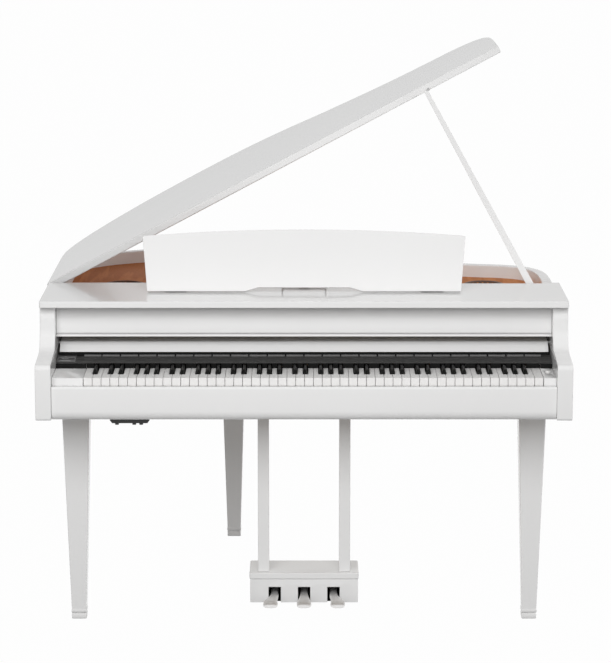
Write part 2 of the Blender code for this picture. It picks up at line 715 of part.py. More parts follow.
def make_key_blocks():
    """The blocks beside the keys. The treble block holds the power button."""
    front, step, rear = back(KEY_FRONT) - 0.002, back(PANEL_FRONT) + 0.001, back(PANEL_BACK)
    outline = [(front, KEYBED_TOP + GAP), (rear, KEYBED_TOP + GAP), (rear, KEY_TOP + PANEL_LIFT - GAP),
               (step, KEY_TOP + PANEL_LIFT - GAP), (step, KEY_TOP), (front, KEY_TOP)]
    inside = INNER_HALF - GAP
    left_end, right_start = KEYBOARD_LEFT - KEY_SLIT, KEYBOARD_RIGHT + KEY_SLIT
    add_piece("left_key_block", prism(bmesh.new(), outline, "X", -inside, left_end), "white_lacquer")
    block = add_piece("right_key_block", prism(bmesh.new(), outline, "X", right_start, inside),
                      "white_lacquer")
    centre = ((right_start + inside) / 2, back(0.117), 0)
    low = KEY_TOP - BUTTON_TRAVEL - 0.004
    cut(block, rod(bmesh.new(), BUTTON_RADIUS + GAP, "Z", centre, low, KEY_TOP + 0.01, 16),
        "button_well")
    axis = joint_frame("button_axis", (centre[0], centre[1], KEY_TOP))
    rest_low = low + BUTTON_TRAVEL + GAP
    cap = [(BUTTON_RADIUS, rest_low), (BUTTON_RADIUS, KEY_TOP + 0.0010),
           (BUTTON_RADIUS - 0.0008, KEY_TOP + 0.0018)]
    add_piece("power_button", turned(bmesh.new(), cap, "Z", centre, 16), "key_white", axis,
              round_piece=True)


def make_key_cover():
    """The sliding key cover, pushed back, with a sloped lip and a roller at each corner."""
    slide = joint_frame("cover_slide", (0, back(COVER_FRONT), KEY_TOP + COVER_RISE))
    lip_y, lip_z = back(COVER_FRONT), KEY_TOP + COVER_RISE
    top_y, rear = lip_y + LIP_DEPTH, back(COVER_BACK)
    under_y = top_y + 0.0065
    outline = [(lip_y, lip_z), (top_y, cover_top(top_y)), (rear, cover_top(rear)),
               (rear, cover_top(rear) - COVER_THICK), (under_y, cover_top(under_y) - COVER_THICK),
               (lip_y + 0.004, lip_z - 0.001)]
    half = INNER_HALF - COVER_SIDE_GAP
    cover = add_piece("key_cover", prism(bmesh.new(), outline, "X", -half, half), "white_lacquer",
                      slide)
    rollers = bmesh.new()
    for side in (-1, 1):
        for number in (0, 1):
            y = roller_y(number)
            ends = sorted((side * (half - 0.003), side * (INNER_HALF + GROOVE_DEPTH - 0.001)))
            rod(rollers, ROLLER_RADIUS, "X", (0, y, roller_z(y)), *ends)
    join(cover, rollers, "cover_pins")


# Lid, stay and music rest
def stay_layout():
    """Where the stay and its peg lie, seen along Y.

    The peg sits on the side of the stay's round tip, one clearance away. The stay's length and
    angle follow from that and from where its pivot is.
    """
    turn = Matrix.Rotation(LID_ANGLE, 2)
    peg = Vector((HINGE_X, HINGE_Z)) + turn @ Vector((PEG_REACH, PEG_RISE))
    pivot = Vector((STAY_X, STAY_Z))
    reach = PEG_RADIUS + STAY_TIP_RADIUS + GAP
    distance = (peg - pivot).length
    length = math.sqrt(distance ** 2 - (reach * math.sin(PEG_SIDE)) ** 2) - reach * math.cos(PEG_SIDE)
    lean = math.atan2(peg.y - pivot.y, peg.x - pivot.x)
    angle = lean + math.atan2(reach * math.sin(PEG_SIDE), length + reach * math.cos(PEG_SIDE))
    slot = (STAY_X - length - 2 * STAY_TIP_RADIUS, STAY_X + STAY_BASE_RADIUS + 0.007)
    return {"peg": peg, "length": length, "angle": angle, "slot": slot}


def make_lid():
    """The lid, in its own frame: X along the lid from the hinge line, Z out of its top."""
    frame = joint_frame("lid_axis", (HINGE_X, 0, HINGE_Z), -LID_ANGLE, "Y")
    start = BACK_START + LID_FRONT_GAP
    under = LID_UNDER - HINGE_Z
    outline = [(point.x - HINGE_X, point.y) for point in case_area(0, start)]
    lid = add_piece("lid", prism(bmesh.new(), outline, "Z", under, under + LID_THICK),
                    "white_lacquer", frame, in_frame=True, round_piece=True)
    bevel = lid.modifiers.new("soft_edges", "BEVEL")
    bevel.width = 0.0015
    bevel.segments = 1
    bevel.limit_method = "ANGLE"

    make_lid_hinge(frame)
    rim_middle = RIM_HALF - RIM_THICK / 2 - HINGE_X
    bumper = rod(bmesh.new(), BUMPER_RADIUS, "Z", (rim_middle, back(BUMPER_DEPTH), 0),
                 under - LID_LIFT + GAP, under - GAP)
    add_piece("lid_bumper", bumper, "black_rubber", frame, in_frame=True, round_piece=True)

    stay_front = BACK_START - (STAY_SLOT + STAY_THICK) / 2
    peg = rod(bmesh.new(), PEG_RADIUS, "Y", (PEG_REACH, 0, PEG_RISE), stay_front, start - GAP)
    add_piece("stay_peg", peg, "grey_steel", frame, in_frame=True, round_piece=True)


def make_lid_hinge(frame):
    """The long hinge between the rim's top and the lid: a leaf with the pin, and a leaf round it."""
    front, rear = (back(depth) for depth in LID_HINGE_DEPTHS)
    first, second = front + (rear - front) / 3, rear - (rear - front) / 3
    foot = LID_LIFT / 2 - GAP
    place = Matrix.Translation((HINGE_X, 0, HINGE_Z))
    low, high = knuckle_room(first, second, HINGE_RADIUS)

    fixed = prism(bmesh.new(), hinge_outline(1, foot), "Y", front, rear)
    bmesh.ops.transform(fixed, matrix=place, verts=fixed.verts[:])
    case_leaf = add_piece("lid_hinge_case_leaf", fixed, "grey_steel", round_piece=True)
    room = box(bmesh.new(), low, high)
    bmesh.ops.transform(room, matrix=place, verts=room.verts[:])
    cut(case_leaf, room, "lid_knuckle_room")
    pin = rod(bmesh.new(), HINGE_PIN_RADIUS, "Y", (HINGE_X, 0, HINGE_Z), first - 0.01, second + 0.01, 8)
    join(case_leaf, pin, "lid_hinge_pin")

    moving = prism(bmesh.new(), hinge_outline(-1, foot), "Y", front, rear)
    lid_leaf = add_piece("lid_hinge_lid_leaf", moving, "grey_steel", frame, in_frame=True,
                         round_piece=True)
    rooms = bmesh.new()
    for start, end in ((front - 0.01, first), (second, rear + 0.01)):
        box(rooms, *knuckle_room(start, end, HINGE_RADIUS))
    bore = rod(bmesh.new(), HINGE_PIN_RADIUS + GAP, "Y", (0, 0, 0), first - 0.01, second + 0.01, 8)
    for tool, name in ((rooms, "case_knuckle_rooms"), (bore, "lid_pin_bore")):
        bmesh.ops.transform(tool, matrix=frame.matrix_world, verts=tool.verts[:])
        cut(lid_leaf, tool, name)


def make_stay():
    """The flat stay, its pivot in the middle of its round foot, in its own frame along +X."""
    layout = stay_layout()
    centre_y = BACK_START - STAY_SLOT / 2
    frame = joint_frame("stay_axis", (STAY_X, centre_y, STAY_Z), -layout["angle"], "Y")
    foot = arc((0, 0), STAY_BASE_RADIUS, math.pi / 2, 1.5 * math.pi, 8)
    tip = arc((layout["length"], 0), STAY_TIP_RADIUS, -math.pi / 2, math.pi / 2, 8)
    half = STAY_THICK / 2
    stay = add_piece("lid_stay", prism(bmesh.new(), foot + tip, "Y", -half, half), "white_lacquer",
                     frame, in_frame=True, round_piece=True)
    centre = (STAY_X, 0, STAY_Z)
    cut(stay, rod(bmesh.new(), STAY_PIN_RADIUS + GAP, "Y", centre, centre_y - 0.02, centre_y + 0.02),
        "stay_hole")
    low, high = centre_y - half, centre_y + half
    profile = [(0.007, low - GAP - 0.0015), (0.007, low - GAP), (STAY_PIN_RADIUS, low - GAP),
               (STAY_PIN_RADIUS, high + GAP), (0.013, high + GAP), (0.013, BACK_START)]
    add_piece("stay_bracket", turned(bmesh.new(), profile, "Y", centre, 16), "grey_steel",
              round_piece=True)


def rest_hinge_place():
    """Y of the music rest's hinge line, from where its lower front edge stands."""
    foot = REST_OFFSET + REST_THICK
    drop = (REST_HINGE_RISE - REST_CLEAR + foot * math.sin(REST_LEAN)) / math.cos(REST_LEAN)
    return back(REST_FRONT) + foot * math.cos(REST_LEAN) + drop * math.sin(REST_LEAN)


def make_music_rest():
    """The music rest, in its own frame: Z up the panel, its back face just in front of the axis."""
    axis_y = rest_hinge_place()
    frame = joint_frame("rest_axis", (0, axis_y, REST_HINGE_Z), -REST_LEAN, "X")
    rear, front = -REST_OFFSET, -REST_OFFSET - REST_THICK

    def foot(y):
        """Height, in the rest's frame, of a lower edge that stands level over the board."""
        return (REST_CLEAR - REST_HINGE_RISE + y * math.sin(REST_LEAN)) / math.cos(REST_LEAN)

    low, high = REST_BOTTOM_WIDTH / 2, REST_TOP_WIDTH / 2
    cut_low, cut_high = REST_CUT_WIDTH / 2, REST_CUT_TOP_WIDTH / 2
    rise = REST_MIDDLE_HEIGHT - REST_END_HEIGHT
    steps = 12
    crown = []
    for i in range(steps + 1):
        x = high * (1 - 2 * i / steps)
        crown.append((x, REST_END_HEIGHT + rise * (1 - (x / high) ** 2)))
    edges = [(-low, 0), (-cut_low, 0), (-cut_high, REST_CUT_HEIGHT), (cut_high, REST_CUT_HEIGHT),
             (cut_low, 0), (low, 0)]
    shape = bmesh.new()
    faces = []
    for y in (front, rear):
        points = [(x, foot(y) + lift) for x, lift in edges] + crown
        faces.append([shape.verts.new((x, y, z)) for x, z in points])
    shape.faces.new(faces[0])
    shape.faces.new(faces[1])
    count = len(faces[0])
    for i in range(count):
        j = (i + 1) % count
        shape.faces.new((faces[0][i], faces[0][j], faces[1][j], faces[1][i]))
    rest = add_piece("music_rest", shape, "white_lacquer", frame, in_frame=True, round_piece=True)

    lug = [(rear - 0.002, HINGE_RADIUS), *arc((0, 0), HINGE_RADIUS, math.pi / 2, -math.pi / 2, 8),
           (rear - 0.002, -HINGE_RADIUS)]
    lugs, bores = bmesh.new(), bmesh.new()
    knuckle = REST_HINGE_LENGTH / 6
    for name, side in (("rest_hinge_left", -1), ("rest_hinge_right", 1)):
        x = side * REST_HINGE_X
        make_rest_hinge(name, x, axis_y)
        prism(lugs, lug, "X", x - knuckle, x + knuckle)
        rod(bores, HINGE_PIN_RADIUS + GAP, "X", (x, 0, 0), -knuckle - 0.001, knuckle + 0.001, 8)
    for tool, name, operation in ((lugs, "rest_lugs", "UNION"), (bores, "lug_bores", "DIFFERENCE")):
        bmesh.ops.transform(tool, matrix=frame.matrix_world, verts=tool.verts[:])
        combine(rest, tool, name, operation)
    make_bail(axis_y + BAIL_REACH)


def make_rest_hinge(name, x, axis_y):
    """A hinge foot on the board: two knuckles, the pin between them and a leaf behind."""
    half, knuckle = REST_HINGE_LENGTH / 2, REST_HINGE_LENGTH / 6
    place = Matrix.Translation((0, axis_y, REST_HINGE_Z))
    foot = prism(bmesh.new(), hinge_outline(1, REST_HINGE_RISE - GAP), "X", x - half, x + half)
    bmesh.ops.transform(foot, matrix=place, verts=foot.verts[:])
    hinge = add_piece(name, foot, "grey_steel", round_piece=True)
    edge, clear = REST_HINGE_RISE + 0.001, HINGE_RADIUS + GAP
    room = box(bmesh.new(), (x - knuckle - GAP, axis_y - edge, REST_HINGE_Z - edge),
               (x + knuckle + GAP, axis_y + clear, REST_HINGE_Z + edge))
    cut(hinge, room, name + "_room")
    pin = rod(bmesh.new(), HINGE_PIN_RADIUS, "X", (x, axis_y, REST_HINGE_Z), -half + 0.01,
              half - 0.01, 8)
    join(hinge, pin, name + "_pin")


def make_bail(bail_y):
    """The wire loop that props the rest. It is as long as it is far behind the rest's hinge.

    The hinge line, the loop's foot and its top bar are the corners of a triangle with two equal
    sides, so the loop turns twice as far as the rest.
    """
    lean = 2 * (math.pi / 2 - REST_LEAN) - math.pi / 2
    frame = joint_frame("bail_axis", (0, bail_y, REST_HINGE_Z), lean, "X")
    half = BAIL_WIDTH / 2
    shape = bmesh.new()
    rings = []
    for x, z, out_x, out_z in ((-half, 0, -1, -1), (half, 0, 1, -1), (half, BAIL_REACH, 1, 1),
                               (-half, BAIL_REACH, -1, 1)):
        ring = []
        for i in range(10):
            turn = 2 * math.pi * i / 10
            out = BAIL_RADIUS * math.cos(turn)
            ring.append(shape.verts.new((x + out * out_x, BAIL_RADIUS * math.sin(turn), z + out * out_z)))
        rings.append(ring)
    for number in range(4):
        ring, following = rings[number], rings[(number + 1) % 4]
        for i in range(10):
            j = (i + 1) % 10
            shape.faces.new((ring[i], ring[j], following[j], following[i]))
    add_piece("rest_bail", shape, "grey_steel", frame, in_frame=True, round_piece=True)
    top = REST_HINGE_Z + 0.75 * BAIL_RADIUS
    snap = box(bmesh.new(), (-CLIP_WIDTH / 2, bail_y - 0.006, BOARD_TOP + GAP),
               (CLIP_WIDTH / 2, bail_y + 0.006, top))
    clip = add_piece("bail_clip", snap, "black_gloss")
    bore = rod(bmesh.new(), BAIL_RADIUS + GAP, "X", (0, bail_y, REST_HINGE_Z), -CLIP_WIDTH,
               CLIP_WIDTH, 10)
    cut(clip, bore, "clip_bore")


# Legs, lyre and pedals
def make_leg(name, x, depth):
    """A tapered square leg with a foot under a groove, and a flared bracket at its top."""
    neck = LEG_HEIGHT - BRACKET_HEIGHT
    sections = [
        (0, FOOT_SIZE - 0.003), (0.0015, FOOT_SIZE), (FOOT_HEIGHT, FOOT_SIZE),
        (FOOT_HEIGHT + 0.0005, FOOT_SIZE - 0.006), (FOOT_HEIGHT + 0.003, FOOT_SIZE - 0.006),
        (FOOT_HEIGHT + 0.0035, FOOT_SIZE + 0.002), (FOOT_HEIGHT + 0.011, FOOT_SIZE + 0.002),
        (FOOT_HEIGHT + 0.014, FOOT_SIZE), (neck - 0.001, LEG_TOP_SIZE), (neck, BRACKET_NECK_SIZE)]
    for share in (0.25, 0.5, 0.75, 1.0):
        flare = BRACKET_NECK_SIZE + (BRACKET_SIZE - BRACKET_NECK_SIZE) * share ** 1.2
        sections.append((neck + BRACKET_HEIGHT * share, flare))
    add_piece(name, square_loft(bmesh.new(), x, back(depth), sections), "white_lacquer")


LEG_HEIGHT = CASE_BOTTOM - GAP
def make_legs():
    make_leg("leg_front_left", LEG_SIDE - HALF, LEG_DEPTH)
    make_leg("leg_front_right", HALF - LEG_SIDE, LEG_DEPTH)
    make_leg("leg_rear", REAR_LEG_SHARE * HALF, DEPTH - REAR_LEG_INSET)


def pedal_outline(toe_shift):
    """A pedal from above: a straight lever, a narrow neck and a rounded toe that leans aside."""
    neck, toe, deep, tip = PEDAL_NECK, PEDAL_TOE, PEDAL_TOE_LENGTH, PEDAL_TIP
    widening = [(1.00, 3.80, 0.00), (1.10, 2.90, 0.15), (1.37, 2.00, 0.45)]
    left, right = [(-neck, PEDAL_AXLE_DEPTH + neck * 2)], [(neck, PEDAL_AXLE_DEPTH + neck * 2)]
    for wider, lengths, lean in widening:
        left.append((lean * toe_shift - neck * wider, tip + deep * lengths))
        right.append((lean * toe_shift + neck * wider, tip + deep * lengths))
    middle = [(toe_shift + toe * math.sin(turn), tip + deep - deep * math.cos(turn))
              for turn in [math.radians(-90 + 30 * i) for i in range(7)]]
    return left + middle + right[::-1]


def make_lyre():
    half = POST_SIZE / 2
    for name, side in (("lyre_post_left", -1), ("lyre_post_right", 1)):
        x, y = side * POST_X, back(POST_DEPTH)
        post = box(bmesh.new(), (x - half, y - half, PEDAL_BOX_TOP + GAP),
                   (x + half, y + half, CASE_BOTTOM - GAP))
        add_piece(name, post, "white_lacquer")

    width, front, rear = PEDAL_BOX_WIDTH / 2, back(PEDAL_BOX_FRONT), back(PEDAL_BOX_BACK)
    lid_under = PEDAL_BOX_TOP - PEDAL_BOX_LID
    slab = box(bmesh.new(), (-width, front, lid_under), (width, rear, PEDAL_BOX_TOP))
    lid = add_piece("pedal_box_top", slab, "white_lacquer")
    bevel = lid.modifiers.new("soft_edges", "BEVEL")
    bevel.width = 0.002
    bevel.segments = 2
    width, front, rear = width - 0.002, front + 0.002, rear - 0.002
    wall = PEDAL_BOX_WALL
    body = bmesh.new()
    box(body, (-width, front, PEDAL_BOX_BOTTOM), (width, rear, lid_under - GAP))
    walls = add_piece("pedal_box", body, "white_lacquer")
    room = box(bmesh.new(), (-width + wall, front + wall, PEDAL_BOX_BOTTOM - 0.01),
               (width - wall, rear - wall, PEDAL_BOX_TOP))
    cut(walls, room, "pedal_room")
    doors = bmesh.new()
    for number in (-1, 0, 1):
        x = number * PEDAL_PITCH
        box(doors, (x - PEDAL_DOOR_WIDTH / 2, front - 0.01, PEDAL_BOX_BOTTOM - 0.02),
            (x + PEDAL_DOOR_WIDTH / 2, front + wall + 0.005, PEDAL_DOOR_TOP))
    cut(walls, doors, "pedal_doors")

    axle_y = back(PEDAL_AXLE_DEPTH)
    half = width - wall - GAP
    axle = rod(bmesh.new(), AXLE_RADIUS, "X", (0, axle_y, PEDAL_LEVEL), -half, half)
    add_piece("pedal_axle", axle, "grey_steel", round_piece=True)
    frame = joint_frame("pedal_axis", (0, axle_y, PEDAL_LEVEL))
    for name, number in (("pedal_left", -1), ("pedal_middle", 0), ("pedal_right", 1)):
        outline = [(x + number * PEDAL_PITCH, back(y))
                   for x, y in pedal_outline(number * PEDAL_TOE_SHIFT)]
        low, high = PEDAL_LEVEL - PEDAL_THICK / 2, PEDAL_LEVEL + PEDAL_THICK / 2
        pedal = add_piece(name, prism(bmesh.new(), outline, "Z", low, high), "silver", frame)
        bore = rod(bmesh.new(), AXLE_RADIUS + GAP, "X", (0, axle_y, PEDAL_LEVEL),
                   number * PEDAL_PITCH - PEDAL_TOE, number * PEDAL_PITCH + PEDAL_TOE)
        cut(pedal, bore, name + "_bore")


# Electronics and sockets
def make_electronics():
    base = CASE_BOTTOM + CASE_FLOOR + GAP
    wide, deep, thick = CIRCUIT_SIZE
    middle, under, edge = back(CIRCUIT_DEPTH), base + CIRCUIT_LIFT, CIRCUIT_EDGE
    sheet = box(bmesh.new(), (CIRCUIT_X - wide / 2, middle - deep / 2, under),
                (CIRCUIT_X + wide / 2, middle + deep / 2, under + thick))
    board = add_piece("main_circuit_board", sheet, "green_board")
    fittings = bmesh.new()
    for x in (CIRCUIT_X - wide / 2 + edge, CIRCUIT_X + wide / 2 - edge):
        for y in (middle - deep / 2 + edge, middle + deep / 2 - edge):
            rod(fittings, SPACER_RADIUS, "Z", (x, y, 0), base, under + thick / 2, 8)
    for x, y, size in CHIPS:
        box(fittings, (CIRCUIT_X + x, middle + y, under + thick / 2),
            (CIRCUIT_X + x + size, middle + y + size, under + thick + CHIP_HEIGHT))
    join(board, fittings, "board_fittings")
    wide, deep, tall = SUPPLY_SIZE
    middle = back(SUPPLY_DEPTH)
    supply = box(bmesh.new(), (SUPPLY_X - wide / 2, middle - deep / 2, base),
                 (SUPPLY_X + wide / 2, middle + deep / 2, base + tall))
    add_piece("power_supply", supply, "grey_steel")

    low, high = CASE_BOTTOM - PHONES_HEIGHT, CASE_BOTTOM - GAP
    left = PHONES_SIDE - HALF
    right = left + PHONES_WIDTH
    outline = [(left, high), (left, low + 0.008), (left + 0.006, low), (right - 0.006, low),
               (right, low + 0.008), (right, high)]
    front, rear = (back(depth) for depth in PHONES_DEPTH)
    phones = add_piece("headphone_box", prism(bmesh.new(), outline, "Y", front, rear), "black_gloss",
                       round_piece=True)
    jacks, bores = bmesh.new(), bmesh.new()
    for place in JACK_PLACES:
        centre = (left + place, front + 0.012, low)
        rod(jacks, JACK_RADIUS, "Z", centre, -JACK_LENGTH, 0.002)
        rod(bores, JACK_BORE, "Z", centre, -JACK_LENGTH - 0.01, 0.004)
    join(phones, jacks, "jack_bushings")
    cut(phones, bores, "jack_bores")

    wide, deep, tall = INLET_SIZE
    rear = back(INLET_DEPTH)
    inlet_x = INLET_SIDE - HALF
    housing = box(bmesh.new(), (inlet_x - wide / 2, rear - deep, high - tall),
                  (inlet_x + wide / 2, rear, high))
    inlet = add_piece("mains_inlet", housing, "black_gloss")
    bore_wide, bore_deep, bore_tall = INLET_BORE
    middle = high - tall / 2
    well = box(bmesh.new(), (inlet_x - bore_wide / 2, rear - bore_deep, middle - bore_tall / 2),
               (inlet_x + bore_wide / 2, rear + 0.01, middle + bore_tall / 2))
    cut(inlet, well, "inlet_well")


make_case()
make_keys()
make_key_frame()
make_control_panel()
make_key_blocks()
make_key_cover()
make_lid()
make_stay()
make_music_rest()
make_legs()
make_lyre()
make_electronics()
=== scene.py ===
"""The looks of a white digital grand piano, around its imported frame.

Metres, +Z up. +X points to the treble end and +Y to the tail. A depth is counted backwards from the
front faces of the two arms, as in the frame.
"""

import json
import math

import bmesh
import bpy
import numpy as np
from mathutils import Matrix, Vector


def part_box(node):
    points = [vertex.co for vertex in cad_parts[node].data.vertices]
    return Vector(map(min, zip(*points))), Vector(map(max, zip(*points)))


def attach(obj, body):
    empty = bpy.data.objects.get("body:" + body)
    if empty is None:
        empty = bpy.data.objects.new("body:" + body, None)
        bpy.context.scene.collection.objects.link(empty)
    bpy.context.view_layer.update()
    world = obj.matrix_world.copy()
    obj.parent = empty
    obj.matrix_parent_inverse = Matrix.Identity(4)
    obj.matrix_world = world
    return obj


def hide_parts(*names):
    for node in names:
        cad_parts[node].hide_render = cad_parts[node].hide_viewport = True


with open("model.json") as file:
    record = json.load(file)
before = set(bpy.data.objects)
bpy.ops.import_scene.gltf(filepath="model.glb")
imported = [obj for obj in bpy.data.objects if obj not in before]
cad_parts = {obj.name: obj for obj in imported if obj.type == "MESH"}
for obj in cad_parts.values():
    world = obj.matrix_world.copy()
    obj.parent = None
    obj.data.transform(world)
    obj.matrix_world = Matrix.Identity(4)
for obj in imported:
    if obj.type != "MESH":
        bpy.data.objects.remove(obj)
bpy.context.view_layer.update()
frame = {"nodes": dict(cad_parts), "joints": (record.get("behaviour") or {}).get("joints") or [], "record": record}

# Case sizes
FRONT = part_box("left_arm")[0].y
KEY_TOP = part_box("keys_c")[1].z
WIDTH = 1.430
ARM_THICK = 0.042
ARM_FRONT_RISE = 0.040  # the arms' low fronts, above the white keys
ARM_NOSE = 0.014
ARM_HEEL = 0.006
ARM_STEP = 0.168  # the depth at which the arms' scoops end
ARM_EASE = 0.003
CASE_BACK_START = 0.449
RIM_INSET = 0.006
RIM_THICK = 0.028
RIM_EASE = 0.003
LID_OVERHANG = 0.002
LID_THICK = 0.0205
LID_FRONT_GAP = 0.001
LID_EASE = 0.004
LID_ANGLE = math.radians(28)
GAP = 0.0003
HALF = WIDTH / 2
INNER_HALF = HALF - ARM_THICK
LID_HALF = HALF - RIM_INSET + LID_OVERHANG
BACK_START = FRONT + CASE_BACK_START
SLIP_RISE = 0.007  # the apron's top edge, above the solid's
SLIP_CREST = 0.006
SLIP_CURL_DEPTH = 0.019
SLIP_CURL_HEIGHT = 0.026
STAY_SLOT_LEFT, STAY_SLOT_RIGHT = -0.0075, 0.665
STAY_SLOT_DEPTH = 0.013
TOP_BOARD_CORNER = 0.006

# Key cover sizes
COVER_FRONT = 0.212
COVER_BACK = 0.435
COVER_THICK = 0.012
COVER_SIDE_GAP = 0.0065
COVER_TRAVEL = 0.185
COVER_SLOPE = math.tan(math.radians(3))
LIP_DEPTH = 0.028
LIP_RISE = 0.035  # the lip's lower edge, above the white keys
LIP_HEIGHT = 0.024
LIP_TOE = 0.004
PIN_RADIUS = 0.0035
PIN_DROP = 0.008  # the pins' middles, below the cover's top
PIN_REACH = 0.0045  # into the arms
PIN_DEPTHS = (COVER_FRONT + 0.050, COVER_BACK - 0.012)
GROOVE_FRONT = PIN_DEPTHS[0] - COVER_TRAVEL - PIN_RADIUS - 2 * GAP
GROOVE_BACK = PIN_DEPTHS[1] + PIN_RADIUS + 2 * GAP
GROOVE_DEPTH = PIN_REACH + 0.0010

# Keyboard sizes
KEY_FRONT = 0.032
KEY_LENGTH = 0.248
KEY_UNDER = KEY_TOP - 0.020
WHITE_PITCH = 0.0236
WHITE_KEYS = 52
KEYBOARD_SHIFT = 0.025
KEY_SLIT = 0.0010
BLACK_START = 0.050
BLACK_WIDTH = 0.0110
BLACK_TOP_WIDTH = 0.0094
BLACK_RISE = 0.012
SKIRT_DROP = 0.0075  # how far the white keys' fronts hang below the keys
SKIRT_THICK = 0.0040
SKIRT_INSET = 0.0004
# The painted shade under the control panel: a dark strip and two dark facings that stand in for the shade there
SHADE_STRIP_GAP = 0.0012  # beside each black key
SHADE_STRIP_FRONT, SHADE_STRIP_BACK = 0.1590, 0.1610
SHADE_FACING_FRONT, SHADE_FACING_BACK = 0.1562, 0.1577

# Control panel sizes
PANEL_FRONT = 0.157
PANEL_BACK = COVER_FRONT
PANEL_EDGE = 0.002
PANEL_UNDER = KEY_TOP + 0.014
PANEL_LOW = PANEL_UNDER + 0.004
PANEL_HIGH = PANEL_UNDER + 0.013
PLATE_START, PLATE_END = -INNER_HALF + 0.0030, -INNER_HALF + 0.053
PLATE_FRONT, PLATE_BACK = 0.1600, 0.2030
SLIDER_WINDOW = 0.0404
ARC_CENTRE = -INNER_HALF + 0.0245
ARC_RADII = (0.0070, 0.0220, 0.0370)
ARC_HALF_WIDTH = 0.0012
BUTTON_COUNT = 25
BUTTON_PITCH = 0.05003
BUTTON_GAP = 0.0040
BUTTONS_LEFT, BUTTONS_RIGHT = -0.6008, 0.6453
BUTTONS_FRONT, BUTTONS_BACK = 0.2000, 0.2110

# Leg and pedal sizes. A leg is its node, the X of its middle and the depth of its middle
LEGS = (("leg_front_left", -0.626, 0.2485), ("leg_front_right", 0.626, 0.2485),
        ("leg_rear", -0.217, 1.1255))
FOOT_SIDE = 0.041
LEG_TOP_SIDE = 0.074
NECK_SIDE = 0.083
BRACKET_SIDE = 0.116
BRACKET_HEIGHT = 0.040
PEDAL_BOX_WALL = 0.0123
PEDAL_PITCH = 0.0815
PEDAL_TIP = 0.120
PEDAL_REAR = 0.322

# Music rest and stay sizes
REST_LEAN = math.radians(15)
REST_FOOT_WIDTH = 0.861
REST_TOP_WIDTH = 0.887
REST_END_HEIGHT = 0.1526
REST_MIDDLE_HEIGHT = 0.1702
REST_THICK = 0.015
REST_BEHIND_HINGE = 0.003
REST_BELOW_HINGE = 0.0045
NOTCH_FOOT_WIDTH = 0.323
NOTCH_TOP_WIDTH = 0.251
NOTCH_HEIGHT = 0.0105
STAY_LENGTH = 0.6435011  # from its pivot to the peg
STAY_LEAN = math.radians(118.65309)
STAY_THICK = 0.008
STAY_FOOT_RADIUS = 0.010
STAY_TIP_RADIUS = 0.006
STAY_HOLE_RADIUS = 0.0043
STAY_EASE = 0.0012

# How finely edges and corners are rounded
SUPPORT = 0.0002  # the flat strip that keeps the shading of a big face even
EASE_STEPS = 4


def back(depth):
    """The Y of a depth, which is counted from the arms' front faces."""
    return FRONT + depth


def joint_place(name):
    """A point on a joint's axis, from the frame."""
    return Vector(next(joint["pos_m"] for joint in frame["joints"] if joint["name"] == name))


# Shading node groups
def new_group(name, inputs):
    """A shader group, with inputs given as (name, kind, value), and its two end nodes.

    It gives out a colour, a roughness and a normal.
    """
    kinds = {"value": "NodeSocketFloat", "colour": "NodeSocketColor", "vector": "NodeSocketVector"}
    group = bpy.data.node_groups.new(name, "ShaderNodeTree")
    for label, kind, value in inputs:
        socket = group.interface.new_socket(name=label, in_out="INPUT", socket_type=kinds[kind])
        socket.default_value = value
    for label, kind in (("Colour", "colour"), ("Roughness", "value"), ("Normal", "vector")):
        group.interface.new_socket(name=label, in_out="OUTPUT", socket_type=kinds[kind])
    return group, group.nodes.new("NodeGroupInput"), group.nodes.new("NodeGroupOutput")


def add_node(tree, kind, settings=None, links=None):
    """A node with its settings, whose inputs are linked to sockets or set to values."""
    node = tree.nodes.new(kind)
    for key, value in (settings or {}).items():
        setattr(node, key, value)
    for key, value in (links or {}).items():
        socket = node.inputs[key]
        if isinstance(value, bpy.types.NodeSocket):
            tree.links.new(value, socket)
        else:
            socket.default_value = value
    return node


def add_math(tree, operation, *values, clamp=False):
    """The result of a math node, whose inputs are linked to sockets or set to values."""
    settings = {"operation": operation, "use_clamp": clamp}
    return add_node(tree, "ShaderNodeMath", settings, dict(enumerate(values))).outputs[0]


def stretched_noise(tree, stretch, scale, detail, roughness=0.5):
    """The value of a noise on Object coordinates, stretched along the axes."""
    place = add_node(tree, "ShaderNodeTexCoord")
    turn = add_node(tree, "ShaderNodeMapping", links={
        "Vector": place.outputs["Object"], "Scale": stretch})
    noise = add_node(tree, "ShaderNodeTexNoise", links={
        "Vector": turn.outputs["Vector"], "Scale": scale, "Detail": detail, "Roughness": roughness})
    return noise.outputs["Fac"]


def blended(tree, factor, first, second):
    """A colour mixed from two: the first at a factor of 0, the second at 1."""
    node = add_node(tree, "ShaderNodeMix", {"data_type": "RGBA"}, {0: factor, 6: first, 7: second})
    return node.outputs[2]


def ranged(tree, value, low, high):
    """A value, held between 0 and 1, mapped in a straight line to run from low to high."""
    node = add_node(tree, "ShaderNodeMapRange", links={"Value": value, "To Min": low, "To Max": high})
    return node.outputs["Result"]


def led_out(group, end, colour, rough, height, depth):
    """A group, once a colour, a roughness and a bump of this height and depth lead out of it."""
    bump = add_node(group, "ShaderNodeBump", links={"Height": height, "Distance": depth})
    for source, place in zip((colour, rough, bump.outputs["Normal"]), end.inputs):
        group.links.new(source, place)
    return group


